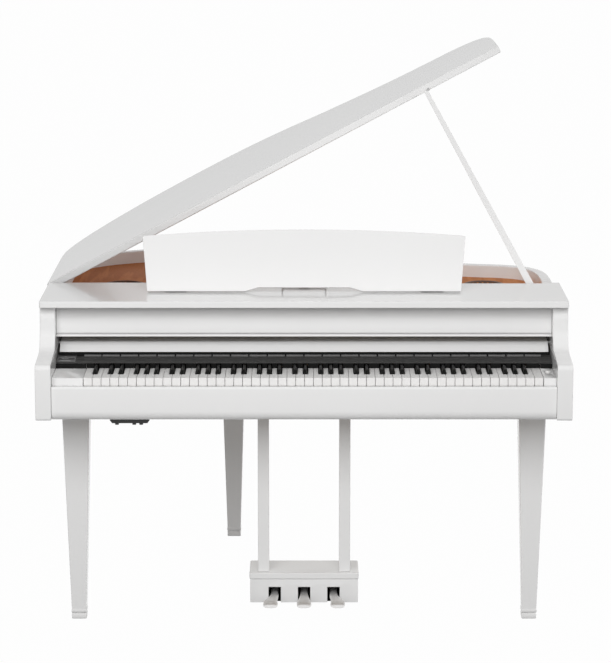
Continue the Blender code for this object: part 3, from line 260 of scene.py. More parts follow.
def make_fine_surface():
    """Cloudy noise that shifts colour and roughness a little, over a fine bump."""
    group, start, end = new_group("fine_surface", [
        ("First colour", "colour", (0.8, 0.8, 0.8, 1)), ("Second colour", "colour", (0.8, 0.8, 0.8, 1)),
        ("Cloud scale", "value", 4.0), ("Least roughness", "value", 0.2),
        ("Most roughness", "value", 0.3), ("Grain scale", "value", 400.0),
        ("Grain depth", "value", 0.00002), ("Stretch", "vector", (1, 1, 1))])
    given = start.outputs
    cloud = stretched_noise(group, given["Stretch"], given["Cloud scale"], 3.0)
    grain = stretched_noise(group, given["Stretch"], given["Grain scale"], 2.0)
    colour = blended(group, cloud, given["First colour"], given["Second colour"])
    rough = ranged(group, cloud, given["Least roughness"], given["Most roughness"])
    return led_out(group, end, colour, rough, grain, given["Grain depth"])


def make_wood_grain():
    """Long fibres: growth bands bent by slow noise, with fine pores along the grain."""
    group, start, end = new_group("wood_grain", [
        ("Light colour", "colour", (0.5, 0.25, 0.1, 1)), ("Dark colour", "colour", (0.3, 0.12, 0.05, 1)),
        ("Band scale", "value", 9.0), ("Least roughness", "value", 0.3),
        ("Most roughness", "value", 0.45), ("Stretch", "vector", (1, 0.1, 1)),
        ("Pore depth", "value", 0.00005)])
    given = start.outputs
    bands = stretched_noise(group, given["Stretch"], given["Band scale"], 4.0, 0.6)
    pores = stretched_noise(group, given["Stretch"], 420.0, 2.0, 0.6)
    rings = add_math(group, "SINE", add_math(group, "MULTIPLY", bands, 34.0))
    with_pores = add_math(group, "MULTIPLY_ADD", pores, 0.6, ranged(group, rings, 0.25, 0.75))
    share = add_math(group, "SUBTRACT", with_pores, 0.3, clamp=True)
    colour = blended(group, share, given["Dark colour"], given["Light colour"])
    rough = ranged(group, pores, given["Most roughness"], given["Least roughness"])
    return led_out(group, end, colour, rough, pores, given["Pore depth"])


def finish_material(name, group, values, plain):
    """A Principled material fed by a group, with values for the group's inputs and for its own."""
    material = bpy.data.materials.new(name)
    material.use_nodes = True
    tree = material.node_tree
    shader = tree.nodes["Principled BSDF"]
    surface = tree.nodes.new("ShaderNodeGroup")
    surface.node_tree = group
    for socket, value in zip(surface.inputs, values):
        socket.default_value = value
    for source, place in zip(surface.outputs, ("Base Color", "Roughness", "Normal")):
        tree.links.new(source, shader.inputs[place])
    for label, value in plain.items():
        shader.inputs[label].default_value = value
    return material


def grey(level, warm=0.0):
    """A grey whose red is raised, and whose blue is lowered, by a small share."""
    return (level * (1 + warm), level, level * (1 - warm), 1.0)


SPECULAR = "Specular IOR Level"
# A finish has its name, the values of its group's inputs in their order, and the shader's own values.
# Fine surface: two colours, cloud scale, least and most roughness, grain scale and depth, stretch
FINE_FINISHES = {
    "white_lacquer": ((grey(0.80, 0.004), grey(0.825, 0.004), 2.5, 0.12, 0.18, 70.0, 0.000002),
                      {SPECULAR: 0.5, "Coat Weight": 0.35, "Coat Roughness": 0.03}),
    "key_white": ((grey(0.80, 0.012), grey(0.84, 0.012), 14.0, 0.28, 0.38, 900.0, 0.00001,
                   (1, 0.12, 1)), {SPECULAR: 0.5}),
    "key_black": ((grey(0.004), grey(0.008), 60.0, 0.30, 0.42, 1400.0, 0.00001, (1, 0.05, 1)),
                  {SPECULAR: 0.15}),
    "dark_panel": ((grey(0.036, 0.01), grey(0.042, 0.01), 20.0, 0.42, 0.50, 2200.0, 0.00003),
                   {SPECULAR: 0.4}),
    "panel_inlay": ((grey(0.12), grey(0.13), 20.0, 0.35, 0.45, 2200.0, 0.00002), {SPECULAR: 0.4}),
    "button_row": ((grey(0.19), grey(0.21), 20.0, 0.30, 0.40, 2200.0, 0.00002), {SPECULAR: 0.5}),
    "black_gloss": ((grey(0.008), grey(0.012), 30.0, 0.10, 0.18, 500.0, 0.00001), {SPECULAR: 0.5}),
    "silver": ((grey(0.86, 0.01), grey(0.90, 0.01), 12.0, 0.46, 0.54, 700.0, 0.00001,
                (1, 0.08, 1)), {"Metallic": 0.7}),
    "grey_steel": ((grey(0.50), grey(0.60), 25.0, 0.28, 0.42, 900.0, 0.00002, (0.08, 1, 1)),
                   {"Metallic": 1.0}),
    "black_rubber": ((grey(0.008), grey(0.012), 30.0, 0.7, 0.85, 1500.0, 0.00004), {SPECULAR: 0.15}),
    "red_felt": (((0.20, 0.03, 0.03, 1), (0.28, 0.05, 0.05, 1), 90.0, 0.85, 0.95, 1800.0, 0.0003), {}),
    "green_board": (((0.02, 0.13, 0.06, 1), (0.03, 0.22, 0.10, 1), 60.0, 0.35, 0.5, 700.0, 0.0001), {}),
    "supply_case": ((grey(0.42), grey(0.5), 20.0, 0.5, 0.6, 1200.0, 0.00004), {}),
    "paper_cone": ((grey(0.035), grey(0.055), 80.0, 0.7, 0.85, 900.0, 0.0002), {}),
    "speaker_ring": (((0.10, 0.055, 0.035, 1), (0.13, 0.07, 0.045, 1), 30.0, 0.35, 0.45, 900.0,
                      0.00003), {})}
# Wood: light and dark colour, band scale, least and most roughness, stretch
WOOD_FINISHES = {
    "brown_wood": (((0.66, 0.27, 0.10, 1), (0.46, 0.16, 0.05, 1), 7.0, 0.50, 0.62, (1, 0.10, 1)),
                   {SPECULAR: 0.12}),
    "plain_board": (((0.60, 0.46, 0.30, 1), (0.48, 0.34, 0.20, 1), 11.0, 0.6, 0.8, (0.1, 1, 1)),
                    {})}
FINISHES = {name: finish_material(name, group, values, plain)
            for group, rows in ((make_fine_surface(), FINE_FINISHES), (make_wood_grain(), WOOD_FINISHES))
            for name, (values, plain) in rows.items()}


# Outlines
def eased_corners(points, ease, steps=EASE_STEPS):
    """An outline with each corner drawn round.

    A corner P between A and B, each one ease length away, becomes the quadratic curve
    (1 - t)^2 A + 2 t (1 - t) P + t^2 B, with a support point just outside each end. A corner whose
    ease is 0 stays one point.
    """
    points = np.asarray(points, float)
    ease = np.broadcast_to(np.asarray(ease, float), (len(points),))[:, None]
    to_last = np.roll(points, 1, 0) - points
    to_next = np.roll(points, -1, 0) - points
    to_last /= np.linalg.norm(to_last, axis=1)[:, None]
    to_next /= np.linalg.norm(to_next, axis=1)[:, None]
    t = np.linspace(0, 1, steps + 1)[None, :, None]
    first, last = (points + to_last * ease)[:, None], (points + to_next * ease)[:, None]
    curve = (1 - t) ** 2 * first + 2 * t * (1 - t) * points[:, None] + t ** 2 * last
    before = (points + to_last * (ease + SUPPORT))[:, None]
    after = (points + to_next * (ease + SUPPORT))[:, None]
    rounded = np.concatenate([before, curve, after], 1)
    middle = np.arange(steps + 3) == 1
    return rounded[(ease > 0) | middle]


def moved_in(outline, distance):
    """A closed outline, counterclockwise, moved inwards: each point goes along its two edges' mitre."""
    ahead = np.roll(outline, -1, 0) - outline
    behind = outline - np.roll(outline, 1, 0)
    ahead /= np.linalg.norm(ahead, axis=1)[:, None]
    behind /= np.linalg.norm(behind, axis=1)[:, None]
    n1 = np.stack([-behind[:, 1], behind[:, 0]], 1)
    n2 = np.stack([-ahead[:, 1], ahead[:, 0]], 1)
    share = 1 + (n1 * n2).sum(1)[:, None]
    return outline + distance * (n1 + n2) / share


def counterclockwise(outline):
    """An outline, turned round where twice its area, the sum of x y' - x' y, is negative."""
    x, y = outline[:, 0], outline[:, 1]
    area = (x * np.roll(y, -1) - np.roll(x, -1) * y).sum()
    return outline if area > 0 else outline[::-1]


def smooth_line(points, steps):
    """A Catmull-Rom curve through the points, with this many steps between two of them."""
    points = np.asarray(points, float)
    padded = np.concatenate([[2 * points[0] - points[1]], points, [2 * points[-1] - points[-2]]])
    a, b, c, d = (padded[i:len(padded) - 3 + i, None] for i in range(4))
    t = (np.arange(steps) / steps)[None, :, None]
    line = 0.5 * (2 * b + (c - a) * t + (2 * a - 5 * b + 4 * c - d) * t ** 2
                  + (3 * b - a - 3 * c + d) * t ** 3)
    return np.concatenate([line.reshape(-1, 2), points[-1:]])


def arc(centre, radius, start, end, steps):
    """Points on a circle, centre + radius (cos, sin), from one angle in degrees to another."""
    turn = np.radians(np.linspace(start, end, steps + 1))
    return np.stack([centre[0] + radius * np.cos(turn), centre[1] + radius * np.sin(turn)], 1)


# Meshes
def ring_faces(rings, count, closed=False):
    """Quads between rings of points, each ring closed on itself."""
    here = np.arange(rings if closed else rings - 1)[:, None] * count
    there = (here + count) % (rings * count)
    i = np.arange(count)[None, :]
    j = (i + 1) % count
    return np.stack([here + i, here + j, there + j, there + i], -1).reshape(-1, 4)


def ringed(points, capped=True, closed=False):
    """A shape from rings of points, an array of (ring, place on the ring, 3), capped at both ends."""
    rings, count = points.shape[:2]
    faces = [list(face) for face in ring_faces(rings, count, closed).tolist()]
    caps = []
    if capped and not closed:
        caps = [list(range(count))[::-1], list(range((rings - 1) * count, rings * count))]
    return points.reshape(-1, 3), faces, caps


def turn_faces_out(mesh):
    """Make the faces of a closed mesh point outwards."""
    work = bmesh.new()
    work.from_mesh(mesh)
    bmesh.ops.recalc_face_normals(work, faces=work.faces[:])
    work.to_mesh(mesh)
    work.free()


def new_object(name, data):
    """A new object at the origin, in the scene."""
    thing = bpy.data.objects.new(name, data)
    bpy.context.scene.collection.objects.link(thing)
    return thing


def add_shape(name, shapes, finish, body, replaces=()):
    """One piece from shapes: smooth on its rings, flat on its caps, faces pointing outwards.

    Its slot has the name of its finish.
    """
    points, faces, flat = [], [], []
    start = 0
    for shape_points, shape_faces, caps in shapes:
        points.append(shape_points)
        faces += [[i + start for i in face] for face in shape_faces + caps]
        flat += [False] * len(shape_faces) + [True] * len(caps)
        start += len(shape_points)
    mesh = bpy.data.meshes.new(name)
    mesh.from_pydata(np.concatenate(points).tolist(), [], faces)
    mesh.polygons.foreach_set("use_smooth", [not is_flat for is_flat in flat])
    turn_faces_out(mesh)
    mesh.materials.append(FINISHES[finish])
    piece = new_object(name, mesh)
    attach(piece, body)
    if replaces:
        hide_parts(*replaces)
    return piece


def add_lacquered(node, shapes, body="root"):
    """A white piece in a node's place."""
    return add_shape(node + "_lacquered", shapes, "white_lacquer", body, replaces=[node])


def placed(plane, a, b, along):
    """Points in an outline's plane, given as the two axes it lies in, and a place across it."""
    a, b, along = np.broadcast_arrays(a, b, along)
    order = {"XY": (a, b, along), "YZ": (along, a, b), "XZ": (a, along, b)}[plane]
    return np.stack(order, -1)


def eased_slab(outline, plane, low, high, ease, steps=EASE_STEPS):
    """A flat body with rounded edges.

    Its rings are the outline moved in by ease (1 - t)^2 at a height of ease t^2 from each face.
    """
    outline = counterclockwise(outline)
    t = np.linspace(0, 1, steps + 1)
    inset = np.concatenate([[ease + SUPPORT], ease * (1 - t) ** 2, [0.0]])
    height = np.concatenate([[0.0], ease * t ** 2, [ease + SUPPORT]])
    insets = np.concatenate([inset, inset[::-1]])
    places = np.concatenate([low + height, high - height[::-1]])
    rings = np.stack([placed(plane, *moved_in(outline, d).T, h) for d, h in zip(insets, places)])
    return ringed(rings)


def carried(path, sides, section):
    """A closed section, (across, up), carried along a path of (x, y), across being along sides."""
    across = section[None, :, 0, None] * sides[:, None, :]
    flat = path[:, None, :] + across
    up = np.broadcast_to(section[None, :, 1], flat.shape[:2])
    return ringed(np.concatenate([flat, up[..., None]], -1))


def turned(profile, centre, axis="Z", sides=48):
    """A profile of (radius, place along the axis), turned about an axis through a centre."""
    profile = np.asarray(profile, float)
    turn = np.linspace(0, 2 * np.pi, sides, endpoint=False)
    a = profile[:, :1] * np.cos(turn)[None]
    b = profile[:, :1] * np.sin(turn)[None]
    along = np.broadcast_to(profile[:, 1:], a.shape)
    order = {"X": (along, a, b), "Y": (a, along, b), "Z": (a, b, along)}[axis]
    return ringed(np.stack(order, -1) + np.asarray(centre, float))


def moved(shape, matrix):
    """A shape with its points turned and moved by a matrix."""
    points, faces, caps = shape
    matrix = np.array(matrix)
    return points @ matrix[:3, :3].T + matrix[:3, 3], faces, caps


def box_outline(low, high):
    """The four corners of a box, seen from above."""
    return np.array([(low[0], low[1]), (high[0], low[1]), (high[0], high[1]), (low[0], high[1])])


def eased_box(low, high, ease, corner=None):
    """An upright box with rounded edges, standing along Z."""
    outline = eased_corners(box_outline(low, high), corner or ease)
    return eased_slab(outline, "XY", low[2], high[2], ease)


NODE_SLOTS = {part["node"]: part["material_slot"] for part in frame["record"]["subparts"]}


def dress_nodes():
    """Give each node of the frame the finish of its slot."""
    for name, node in frame["nodes"].items():
        node.data.materials.clear()
        node.data.materials.append(FINISHES[NODE_SLOTS[name]])


def ease_node(name, body, width):
    """A node's own shape as a new piece, its triangles merged and its edges rounded by a bevel."""
    node = frame["nodes"][name]
    mesh = node.data.copy()
    mesh.name = name + "_eased"
    work = bmesh.new()
    work.from_mesh(mesh)
    bmesh.ops.remove_doubles(work, verts=work.verts[:], dist=0.00002)
    bmesh.ops.dissolve_limit(work, angle_limit=math.radians(1), verts=work.verts[:],
                             edges=work.edges[:])
    work.to_mesh(mesh)
    work.free()
    mesh.polygons.foreach_set("use_smooth", [True] * len(mesh.polygons))
    piece = new_object(name + "_eased", mesh)
    bevel = piece.modifiers.new("soft_edges", "BEVEL")
    bevel.width = width
    bevel.segments = 3
    bevel.limit_method = "ANGLE"
    bevel.angle_limit = math.radians(35)
    bevel.harden_normals = True
    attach(piece, body)
    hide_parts(name)


EASED_NODES = (
    ("belly_rail", "root", 0.0008), ("bottom_board", "root", 0.0008), ("keybed", "root", 0.0008),
    ("control_panel", "root", 0.0005), ("left_key_block", "root", 0.0010),
    ("right_key_block", "root", 0.0010), ("power_button", "button", 0.0003),
    ("volume_slider", "slider", 0.0003), ("pedal_box", "root", 0.0012),
    ("headphone_box", "root", 0.0006), ("mains_inlet", "root", 0.0005),
    ("stay_bracket", "root", 0.0003), ("bail_clip", "root", 0.0004),
    ("rest_hinge_left", "root", 0.0002), ("rest_hinge_right", "root", 0.0002),
    ("lid_hinge_case_leaf", "root", 0.0002), ("lid_hinge_lid_leaf", "lid_group", 0.0002),
    ("stay_peg", "lid_group", 0.0003), ("lid_bumper", "lid_group", 0.0005),
    ("rest_bail", "bail", 0.0001), ("pedal_axle", "root", 0.0003))


# Case
def case_line(steps=10):
    """The closed lid's edge seen from above, from the treble side round the tail to the bass side."""
    points = np.array([
        (1.000, 0.680), (0.993, 0.760), (0.970, 0.825), (0.917, 0.880), (0.830, 0.914),
        (0.709, 0.932), (0.570, 0.958), (0.422, 1.005), (0.226, 1.081), (0.084, 1.150),
        (-0.075, 1.206), (-0.225, 1.231), (-0.377, 1.237), (-0.534, 1.228), (-0.675, 1.203),
        (-0.809, 1.158), (-0.921, 1.092), (-0.985, 1.010), (-1.000, 0.920)])
    curve = smooth_line(points * (LID_HALF, 1), steps) + (0, FRONT)
    return np.concatenate([[(LID_HALF, BACK_START)], curve, [(-LID_HALF, BACK_START)]])


def line_sides(line):
    """Unit vectors to the left of an open line, which runs anticlockwise, so they point inwards."""
    ahead = np.gradient(line, axis=0)
    sides = np.stack([-ahead[:, 1], ahead[:, 0]], 1)
    sides[0], sides[-1] = (-1, 0), (1, 0)
    return sides / np.linalg.norm(sides, axis=1)[:, None]


def make_rim():
    """The rim: an upright section with rounded edges, carried along a line just inside the lid's edge."""
    low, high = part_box("rim_shell")
    line = case_line()
    sides = line_sides(line)
    path = line + sides * LID_OVERHANG
    path[[0, -1], 1] = low.y
    section = eased_corners([(0, low.z), (RIM_THICK, low.z), (RIM_THICK, high.z), (0, high.z)],
                            RIM_EASE)
    add_lacquered("rim_shell", [carried(path, sides, section)])


def arm_outline():
    """The arm's side, Y and Z: a round front corner, a scoop in two bends and a square back.

    The scoop is a smooth curve through points of (depth, height above the low front).
    """
    low_front = KEY_TOP + ARM_FRONT_RISE
    base, top = (corner.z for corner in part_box("left_arm"))
    points = np.array([(ARM_NOSE, 0), (0.044, 0.004), (0.079, 0.007), (0.111, 0.011), (0.134, 0.018),
                       (0.152, 0.035), (0.164, 0.058), (ARM_STEP, 0.085)])
    scoop = smooth_line(points + (FRONT, low_front), 8)
    front_corner = arc((FRONT + ARM_NOSE, low_front - ARM_NOSE), ARM_NOSE, 180, 90, 10)[:-1]
    heel = arc((FRONT + ARM_HEEL, base + ARM_HEEL), ARM_HEEL, 270, 180, 6)
    rear = [(back(ARM_STEP), top), (BACK_START, top), (BACK_START, base)]
    return np.concatenate([heel, front_corner, scoop, rear])


def cover_top(depth):
    """Height of the open key cover's top face at a depth."""
    return KEY_TOP + LIP_RISE + LIP_HEIGHT + (depth - COVER_FRONT - LIP_DEPTH) * COVER_SLOPE


def cut_out(piece, shape):
    """Take a shape out of a piece's mesh."""
    points, faces, caps = shape
    mesh = bpy.data.meshes.new("cutter")
    mesh.from_pydata(points.tolist(), [], faces + caps)
    turn_faces_out(mesh)
    cutter = new_object("cutter", mesh)
    cut = piece.modifiers.new("cut", "BOOLEAN")
    cut.operation = "DIFFERENCE"
    cut.solver = "EXACT"
    cut.object = cutter
    seen = piece.evaluated_get(bpy.context.evaluated_depsgraph_get())
    result = bpy.data.meshes.new_from_object(seen)
    piece.modifiers.remove(cut)
    piece.data = result
    bpy.data.objects.remove(cutter)


def make_arms():
    """The two arms, each with the groove that the key cover's pins run in."""
    front, rear, half = GROOVE_FRONT, GROOVE_BACK, PIN_RADIUS + GAP
    for name, side in (("left_arm", -1), ("right_arm", 1)):
        low, high = sorted((side * INNER_HALF, side * HALF))
        shape = eased_slab(arm_outline(), "YZ", low, high, ARM_EASE)
        arm = add_lacquered(name, [shape])
        groove = np.array([(back(depth), cover_top(depth) - PIN_DROP + rise) for depth, rise in (
            (front, -half), (rear, -half), (rear, half), (front, half))])
        ends = sorted((side * (INNER_HALF - 0.002), side * (INNER_HALF + GROOVE_DEPTH)))
        cut_out(arm, ringed(np.stack([placed("YZ", *groove.T, end) for end in ends])))


def make_key_slip():
    """The apron, curled under at the bottom, with a round top edge that hides the keys' lower fronts."""
    low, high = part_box("key_slip")
    top = high.z + SLIP_RISE
    curl = arc((low.y + SLIP_CURL_DEPTH, SLIP_CURL_DEPTH), SLIP_CURL_DEPTH, 180, 270, 14)
    curl[:, 1] = low.z + curl[:, 1] * SLIP_CURL_HEIGHT / SLIP_CURL_DEPTH
    crest = arc((low.y + SLIP_CREST, top - SLIP_CREST), SLIP_CREST, 90, 180, 8)
    outline = np.concatenate([curl, [(high.y, low.z), (high.y, top)], crest])
    add_lacquered("key_slip", [eased_slab(outline, "YZ", low.x, high.x, 0.0008)])


def make_name_board():
    """An upright board whose front slopes back at its foot, above a narrow lip."""
    low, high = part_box("name_board")
    foot = np.array([(0, 0.0115), (0.007, 0.0055), (0.005, 0.005), (0.005, 0)]) + (low.y, low.z)
    outline = eased_corners(
        np.concatenate([[(low.y, high.z)], foot, [(high.y, low.z), (high.y, high.z)]]),
        [0.0, 0.0020, 0.0, 0.0, 0.0016, 0.0, 0.0])
    add_lacquered("name_board", [eased_slab(outline, "YZ", low.x, high.x, 0.0006)])


def make_top_board():
    """The fixed board in front of the lid, with the stay's slot in its back edge."""
    low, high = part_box("top_board")
    slot_front = high.y - STAY_SLOT_DEPTH
    outline = eased_corners([
        (low.x, low.y), (high.x, low.y), (high.x, high.y), (STAY_SLOT_RIGHT, high.y),
        (STAY_SLOT_RIGHT, slot_front), (STAY_SLOT_LEFT, slot_front), (STAY_SLOT_LEFT, high.y),
        (low.x, high.y)], [TOP_BOARD_CORNER] * 2 + [0.0] * 6)
    add_lacquered("top_board", [eased_slab(outline, "XY", low.z, high.z, 0.0025)])


def make_lid():
    """The lid, shaped flat over the closed case, then turned up about its hinge line."""
    hinge = joint_place("lid_close")
    line = case_line()
    line[[0, -1], 1] += LID_FRONT_GAP
    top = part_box("top_board")[1].z
    shape = eased_slab(line, "XY", top - LID_THICK, top, LID_EASE, 6)
    turn = (Matrix.Translation(hinge) @ Matrix.Rotation(-LID_ANGLE, 4, "Y")
            @ Matrix.Translation(-hinge))
    add_lacquered("lid", [moved(shape, turn)], "lid_group")


# Keyboard
NOTES = ("c", "c_sharp", "d", "d_sharp", "e", "f", "f_sharp", "g", "g_sharp", "a", "a_sharp", "b")
WHITE_PLACE = {0: 0, 2: 1, 4: 2, 5: 3, 7: 4, 9: 5, 11: 6}


def key_slots():
    """Left edge and width of each of the twelve key tails, in white key pitches from the C."""
    fifth, seventh = 3 / 5, 4 / 7
    return [(i * fifth, fifth) for i in range(5)] + [(3 + i * seventh, seventh) for i in range(7)]


def white_key(octave_x, note, is_first, is_last):
    """A full head, a tail between its black neighbours and a front that hangs lower, all rounded."""
    slot_left, slot_width = key_slots()[note]
    head_left = octave_x + WHITE_PLACE[note] * WHITE_PITCH + KEY_SLIT / 2
    head_right = head_left + WHITE_PITCH - KEY_SLIT
    tail_left = octave_x + slot_left * WHITE_PITCH + KEY_SLIT / 2
    tail_right = tail_left + slot_width * WHITE_PITCH - KEY_SLIT
    if note in (0, 5) or is_first:
        tail_left = head_left
    if note in (4, 11) or is_last:
        tail_right = head_right
    head_y, step_y = back(KEY_FRONT), back(KEY_FRONT + BLACK_START) - KEY_SLIT
    tail_y = back(KEY_FRONT + KEY_LENGTH)
    points = [(head_left, head_y), (head_right, head_y)]
    if tail_right != head_right:
        points += [(head_right, step_y), (tail_right, step_y)]
    points += [(tail_right, tail_y), (tail_left, tail_y)]
    if tail_left != head_left:
        points += [(tail_left, step_y), (head_left, step_y)]
    slab = eased_slab(eased_corners(points, 0.0014, 3), "XY", KEY_UNDER, KEY_TOP, 0.0007, 3)
    skirt_y = head_y + GAP
    skirt = eased_box((head_left + SKIRT_INSET, skirt_y, KEY_UNDER - SKIRT_DROP),
                      (head_right - SKIRT_INSET, skirt_y + SKIRT_THICK, KEY_UNDER + 0.002),
                      0.0004, 0.0010)
    return [slab, skirt]


def black_key(octave_x, note):
    """A tapered bar: its rounded section shrinks and drops towards the front along a short slope."""
    slot_left, slot_width = key_slots()[note]
    middle = octave_x + (slot_left + slot_width / 2) * WHITE_PITCH
    front_y, tail_y = back(KEY_FRONT + BLACK_START), back(KEY_FRONT + KEY_LENGTH)
    base, top = BLACK_WIDTH / 2, BLACK_TOP_WIDTH / 2
    run = np.array([0.0, 0.0006, 0.002, 0.006, 0.009, 0.012, 0.016, tail_y - front_y])
    drop = np.array([0.0119, 0.0105, 0.0075, 0.0022, 0.0006, 0.0001, 0.0, 0.0])
    section = eased_corners([(-base, 0), (base, 0), (top, 1), (-top, 1)], [1e-5, 1e-5, 0.3, 0.3], 3)
    corner = np.clip((section[:, 1] - 0.7) / 0.3, 0, 1)
    side = np.sign(section[:, 0]) * (base + (top - base) * section[:, 1] - 0.0014 * corner ** 2)
    x = np.broadcast_to(middle + side, (len(run), len(section)))
    height = KEY_TOP + BLACK_RISE - drop[:, None] - KEY_UNDER
    z = KEY_UNDER + section[None, :, 1] * height
    y = np.broadcast_to((front_y + run)[:, None], x.shape)
    return ringed(np.stack([x, y, z], -1))


def make_keys():
    """All 88 keys, those of one note name as one piece. Gives back the black keys' middles."""
    shapes = {note: [] for note in NOTES}
    middles = []
    whites, semitone = 0, 9  # the lowest key is an A
    octave_x = KEYBOARD_SHIFT - WHITE_KEYS * WHITE_PITCH / 2 - 5 * WHITE_PITCH
    while whites < WHITE_KEYS:
        note = semitone % 12
        if note == 0 and semitone > 9:
            octave_x += 7 * WHITE_PITCH
        if note in WHITE_PLACE:
            whites += 1
            shapes[NOTES[note]] += white_key(octave_x, note, whites == 1, whites == WHITE_KEYS)
        else:
            shapes[NOTES[note]].append(black_key(octave_x, note))
            middles.append(octave_x + sum(key_slots()[note] * np.array([1, 0.5])) * WHITE_PITCH)
        semitone += 1
    for note, keys in shapes.items():
        finish = "key_black" if note.endswith("sharp") else "key_white"
        add_shape("keys_" + note + "_dressed", keys, finish, note + "_keys",
                  replaces=["keys_" + note])
    return np.array(middles)


def make_painted_panel_shade(middles):
    """A dark strip of painted shade that hangs under the control panel, cut away round each black key. It stands
    in for the shade beneath the panel.

    Two dark facings carry the painted shade on over the blocks beside the keys.
    """
    low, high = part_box("key_felt")
    half = BLACK_WIDTH / 2 + SHADE_STRIP_GAP
    starts = np.concatenate([[low.x + 0.001], middles + half])
    ends = np.concatenate([middles - half, [high.x - 0.001]])
    shapes = [eased_box((start, back(SHADE_STRIP_FRONT), KEY_TOP + 0.0012),
                        (end, back(SHADE_STRIP_BACK), KEY_TOP + 0.0150), 0.0002)
              for start, end in zip(starts, ends)]
    for name in ("left_key_block", "right_key_block"):
        low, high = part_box(name)
        shapes.append(eased_box((low.x, back(SHADE_FACING_FRONT), KEY_TOP + 0.0004),
                                (high.x, back(SHADE_FACING_BACK), high.z), 0.0002))
    # A black sheet as painted shade under the panel, where there is only shadow
    add_shape("painted_panel_shade", shapes, "black_rubber", "root")


def make_key_cover():
    """The sloped cover with its turned-down lip, and four pins turned about X that end in the arms."""
    lip_z = KEY_TOP + LIP_RISE
    lip_top = COVER_FRONT + LIP_DEPTH
    under_start = lip_top + 0.0065
    outline = np.array([
        (COVER_FRONT, lip_z), (lip_top, cover_top(lip_top)), (COVER_BACK, cover_top(COVER_BACK)),
        (COVER_BACK, cover_top(COVER_BACK) - COVER_THICK),
        (under_start, cover_top(under_start) - COVER_THICK), (COVER_FRONT + LIP_TOE, lip_z - 0.001)])
    outline = eased_corners(outline + (FRONT, 0), [0.0012, 0.003, 0.0012, 0.0012, 0.002, 0.0012])
    half = INNER_HALF - COVER_SIDE_GAP
    chamfer = 0.0006
    shapes = [eased_slab(outline, "YZ", -half, half, 0.0005)]
    for side in (-1, 1):
        for depth in PIN_DEPTHS:
            start, end = side * (half - 0.003), side * (INNER_HALF + PIN_REACH)
            pin = [(PIN_RADIUS, start), (PIN_RADIUS, end - side * chamfer), (PIN_RADIUS - chamfer, end)]
            shapes.append(turned(pin, (0, back(depth), cover_top(depth) - PIN_DROP), "X"))
    add_lacquered("key_cover", shapes, "cover")


# Legs, lyre and pedals
def make_leg(name, centre_x, depth):
    """A stack of squares with rounded corners: foot, groove, collar, long taper and flared bracket.

    The stack is rows of (height, side). The bracket's side grows from its neck as the share of its
    height, to the power of 1.2.
    """
    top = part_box(name)[1].z
    neck = top - BRACKET_HEIGHT
    foot = np.array([
        (0, -0.0032), (0.0006, -0.0012), (0.0018, 0), (0.0145, 0), (0.0150, -0.0008),
        (0.0153, -0.0050), (0.0156, -0.0060), (0.0180, -0.0060), (0.0183, -0.0050),
        (0.0186, 0.0006), (0.0194, 0.0020), (0.0250, 0.0020), (0.0262, 0.0012), (0.0290, 0),
        (0.0296, 0)]) + (0, FOOT_SIDE)
    waist = np.array([
        (-0.0016, LEG_TOP_SIDE), (-0.0010, LEG_TOP_SIDE), (-0.0006, LEG_TOP_SIDE),
        (-0.0001, NECK_SIDE - 0.001), (0.0006, NECK_SIDE)]) + (neck, 0)
    share = np.linspace(0, 1, 13)[1:-1]
    flare = np.stack([neck + BRACKET_HEIGHT * share + 0.0002,
                      NECK_SIDE + (BRACKET_SIDE - NECK_SIDE) * share ** 1.2], 1)
    crown = np.array([(-0.0020, -0.0004), (-0.0014, 0), (-0.0004, -0.0006), (0, -0.0022)])
    crown = crown + (top, BRACKET_SIDE)
    heights, sides = np.concatenate([foot, waist, flare, crown]).T
    square = eased_corners(np.array([(-1, -1), (1, -1), (1, 1), (-1, 1)]) / 2, 0.06)
    rings = square[None] * sides[:, None, None] + (centre_x, back(depth))
    z = np.broadcast_to(heights[:, None, None], (*rings.shape[:2], 1))
    add_lacquered(name, [ringed(np.concatenate([rings, z], -1))])


def make_lyre():
    """The two posts and the top of the pedal box, as boxes with rounded edges."""
    for name, ease, corner in (("lyre_post_left", 0.0014, 0.0030), ("lyre_post_right", 0.0014, 0.0030),
                               ("pedal_box_top", 0.0032, 0.0060)):
        add_lacquered(name, [eased_box(*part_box(name), ease, corner)])


def make_pedal_room():
    """A dark lining of painted shade on the floor and the rear wall of the pedal box, standing in for the shade
    inside it.
    """
    low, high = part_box("pedal_box")
    front, rear = low.y + PEDAL_BOX_WALL, high.y - PEDAL_BOX_WALL
    floor, top = low.z + 0.0002, high.z - 0.0005
    thick = 0.0010
    outline = np.array([(front, floor), (rear, floor), (rear, top), (rear - thick, top),
                        (rear - thick, floor + thick), (front, floor + thick)])
    # Painted shade: a black sheet lining the inside of the pedal box
    shade_lining = eased_slab(outline, "YZ", low.x + PEDAL_BOX_WALL, high.x - PEDAL_BOX_WALL, 0.0001)
    add_shape("pedal_room", [shade_lining], "black_rubber", "root")


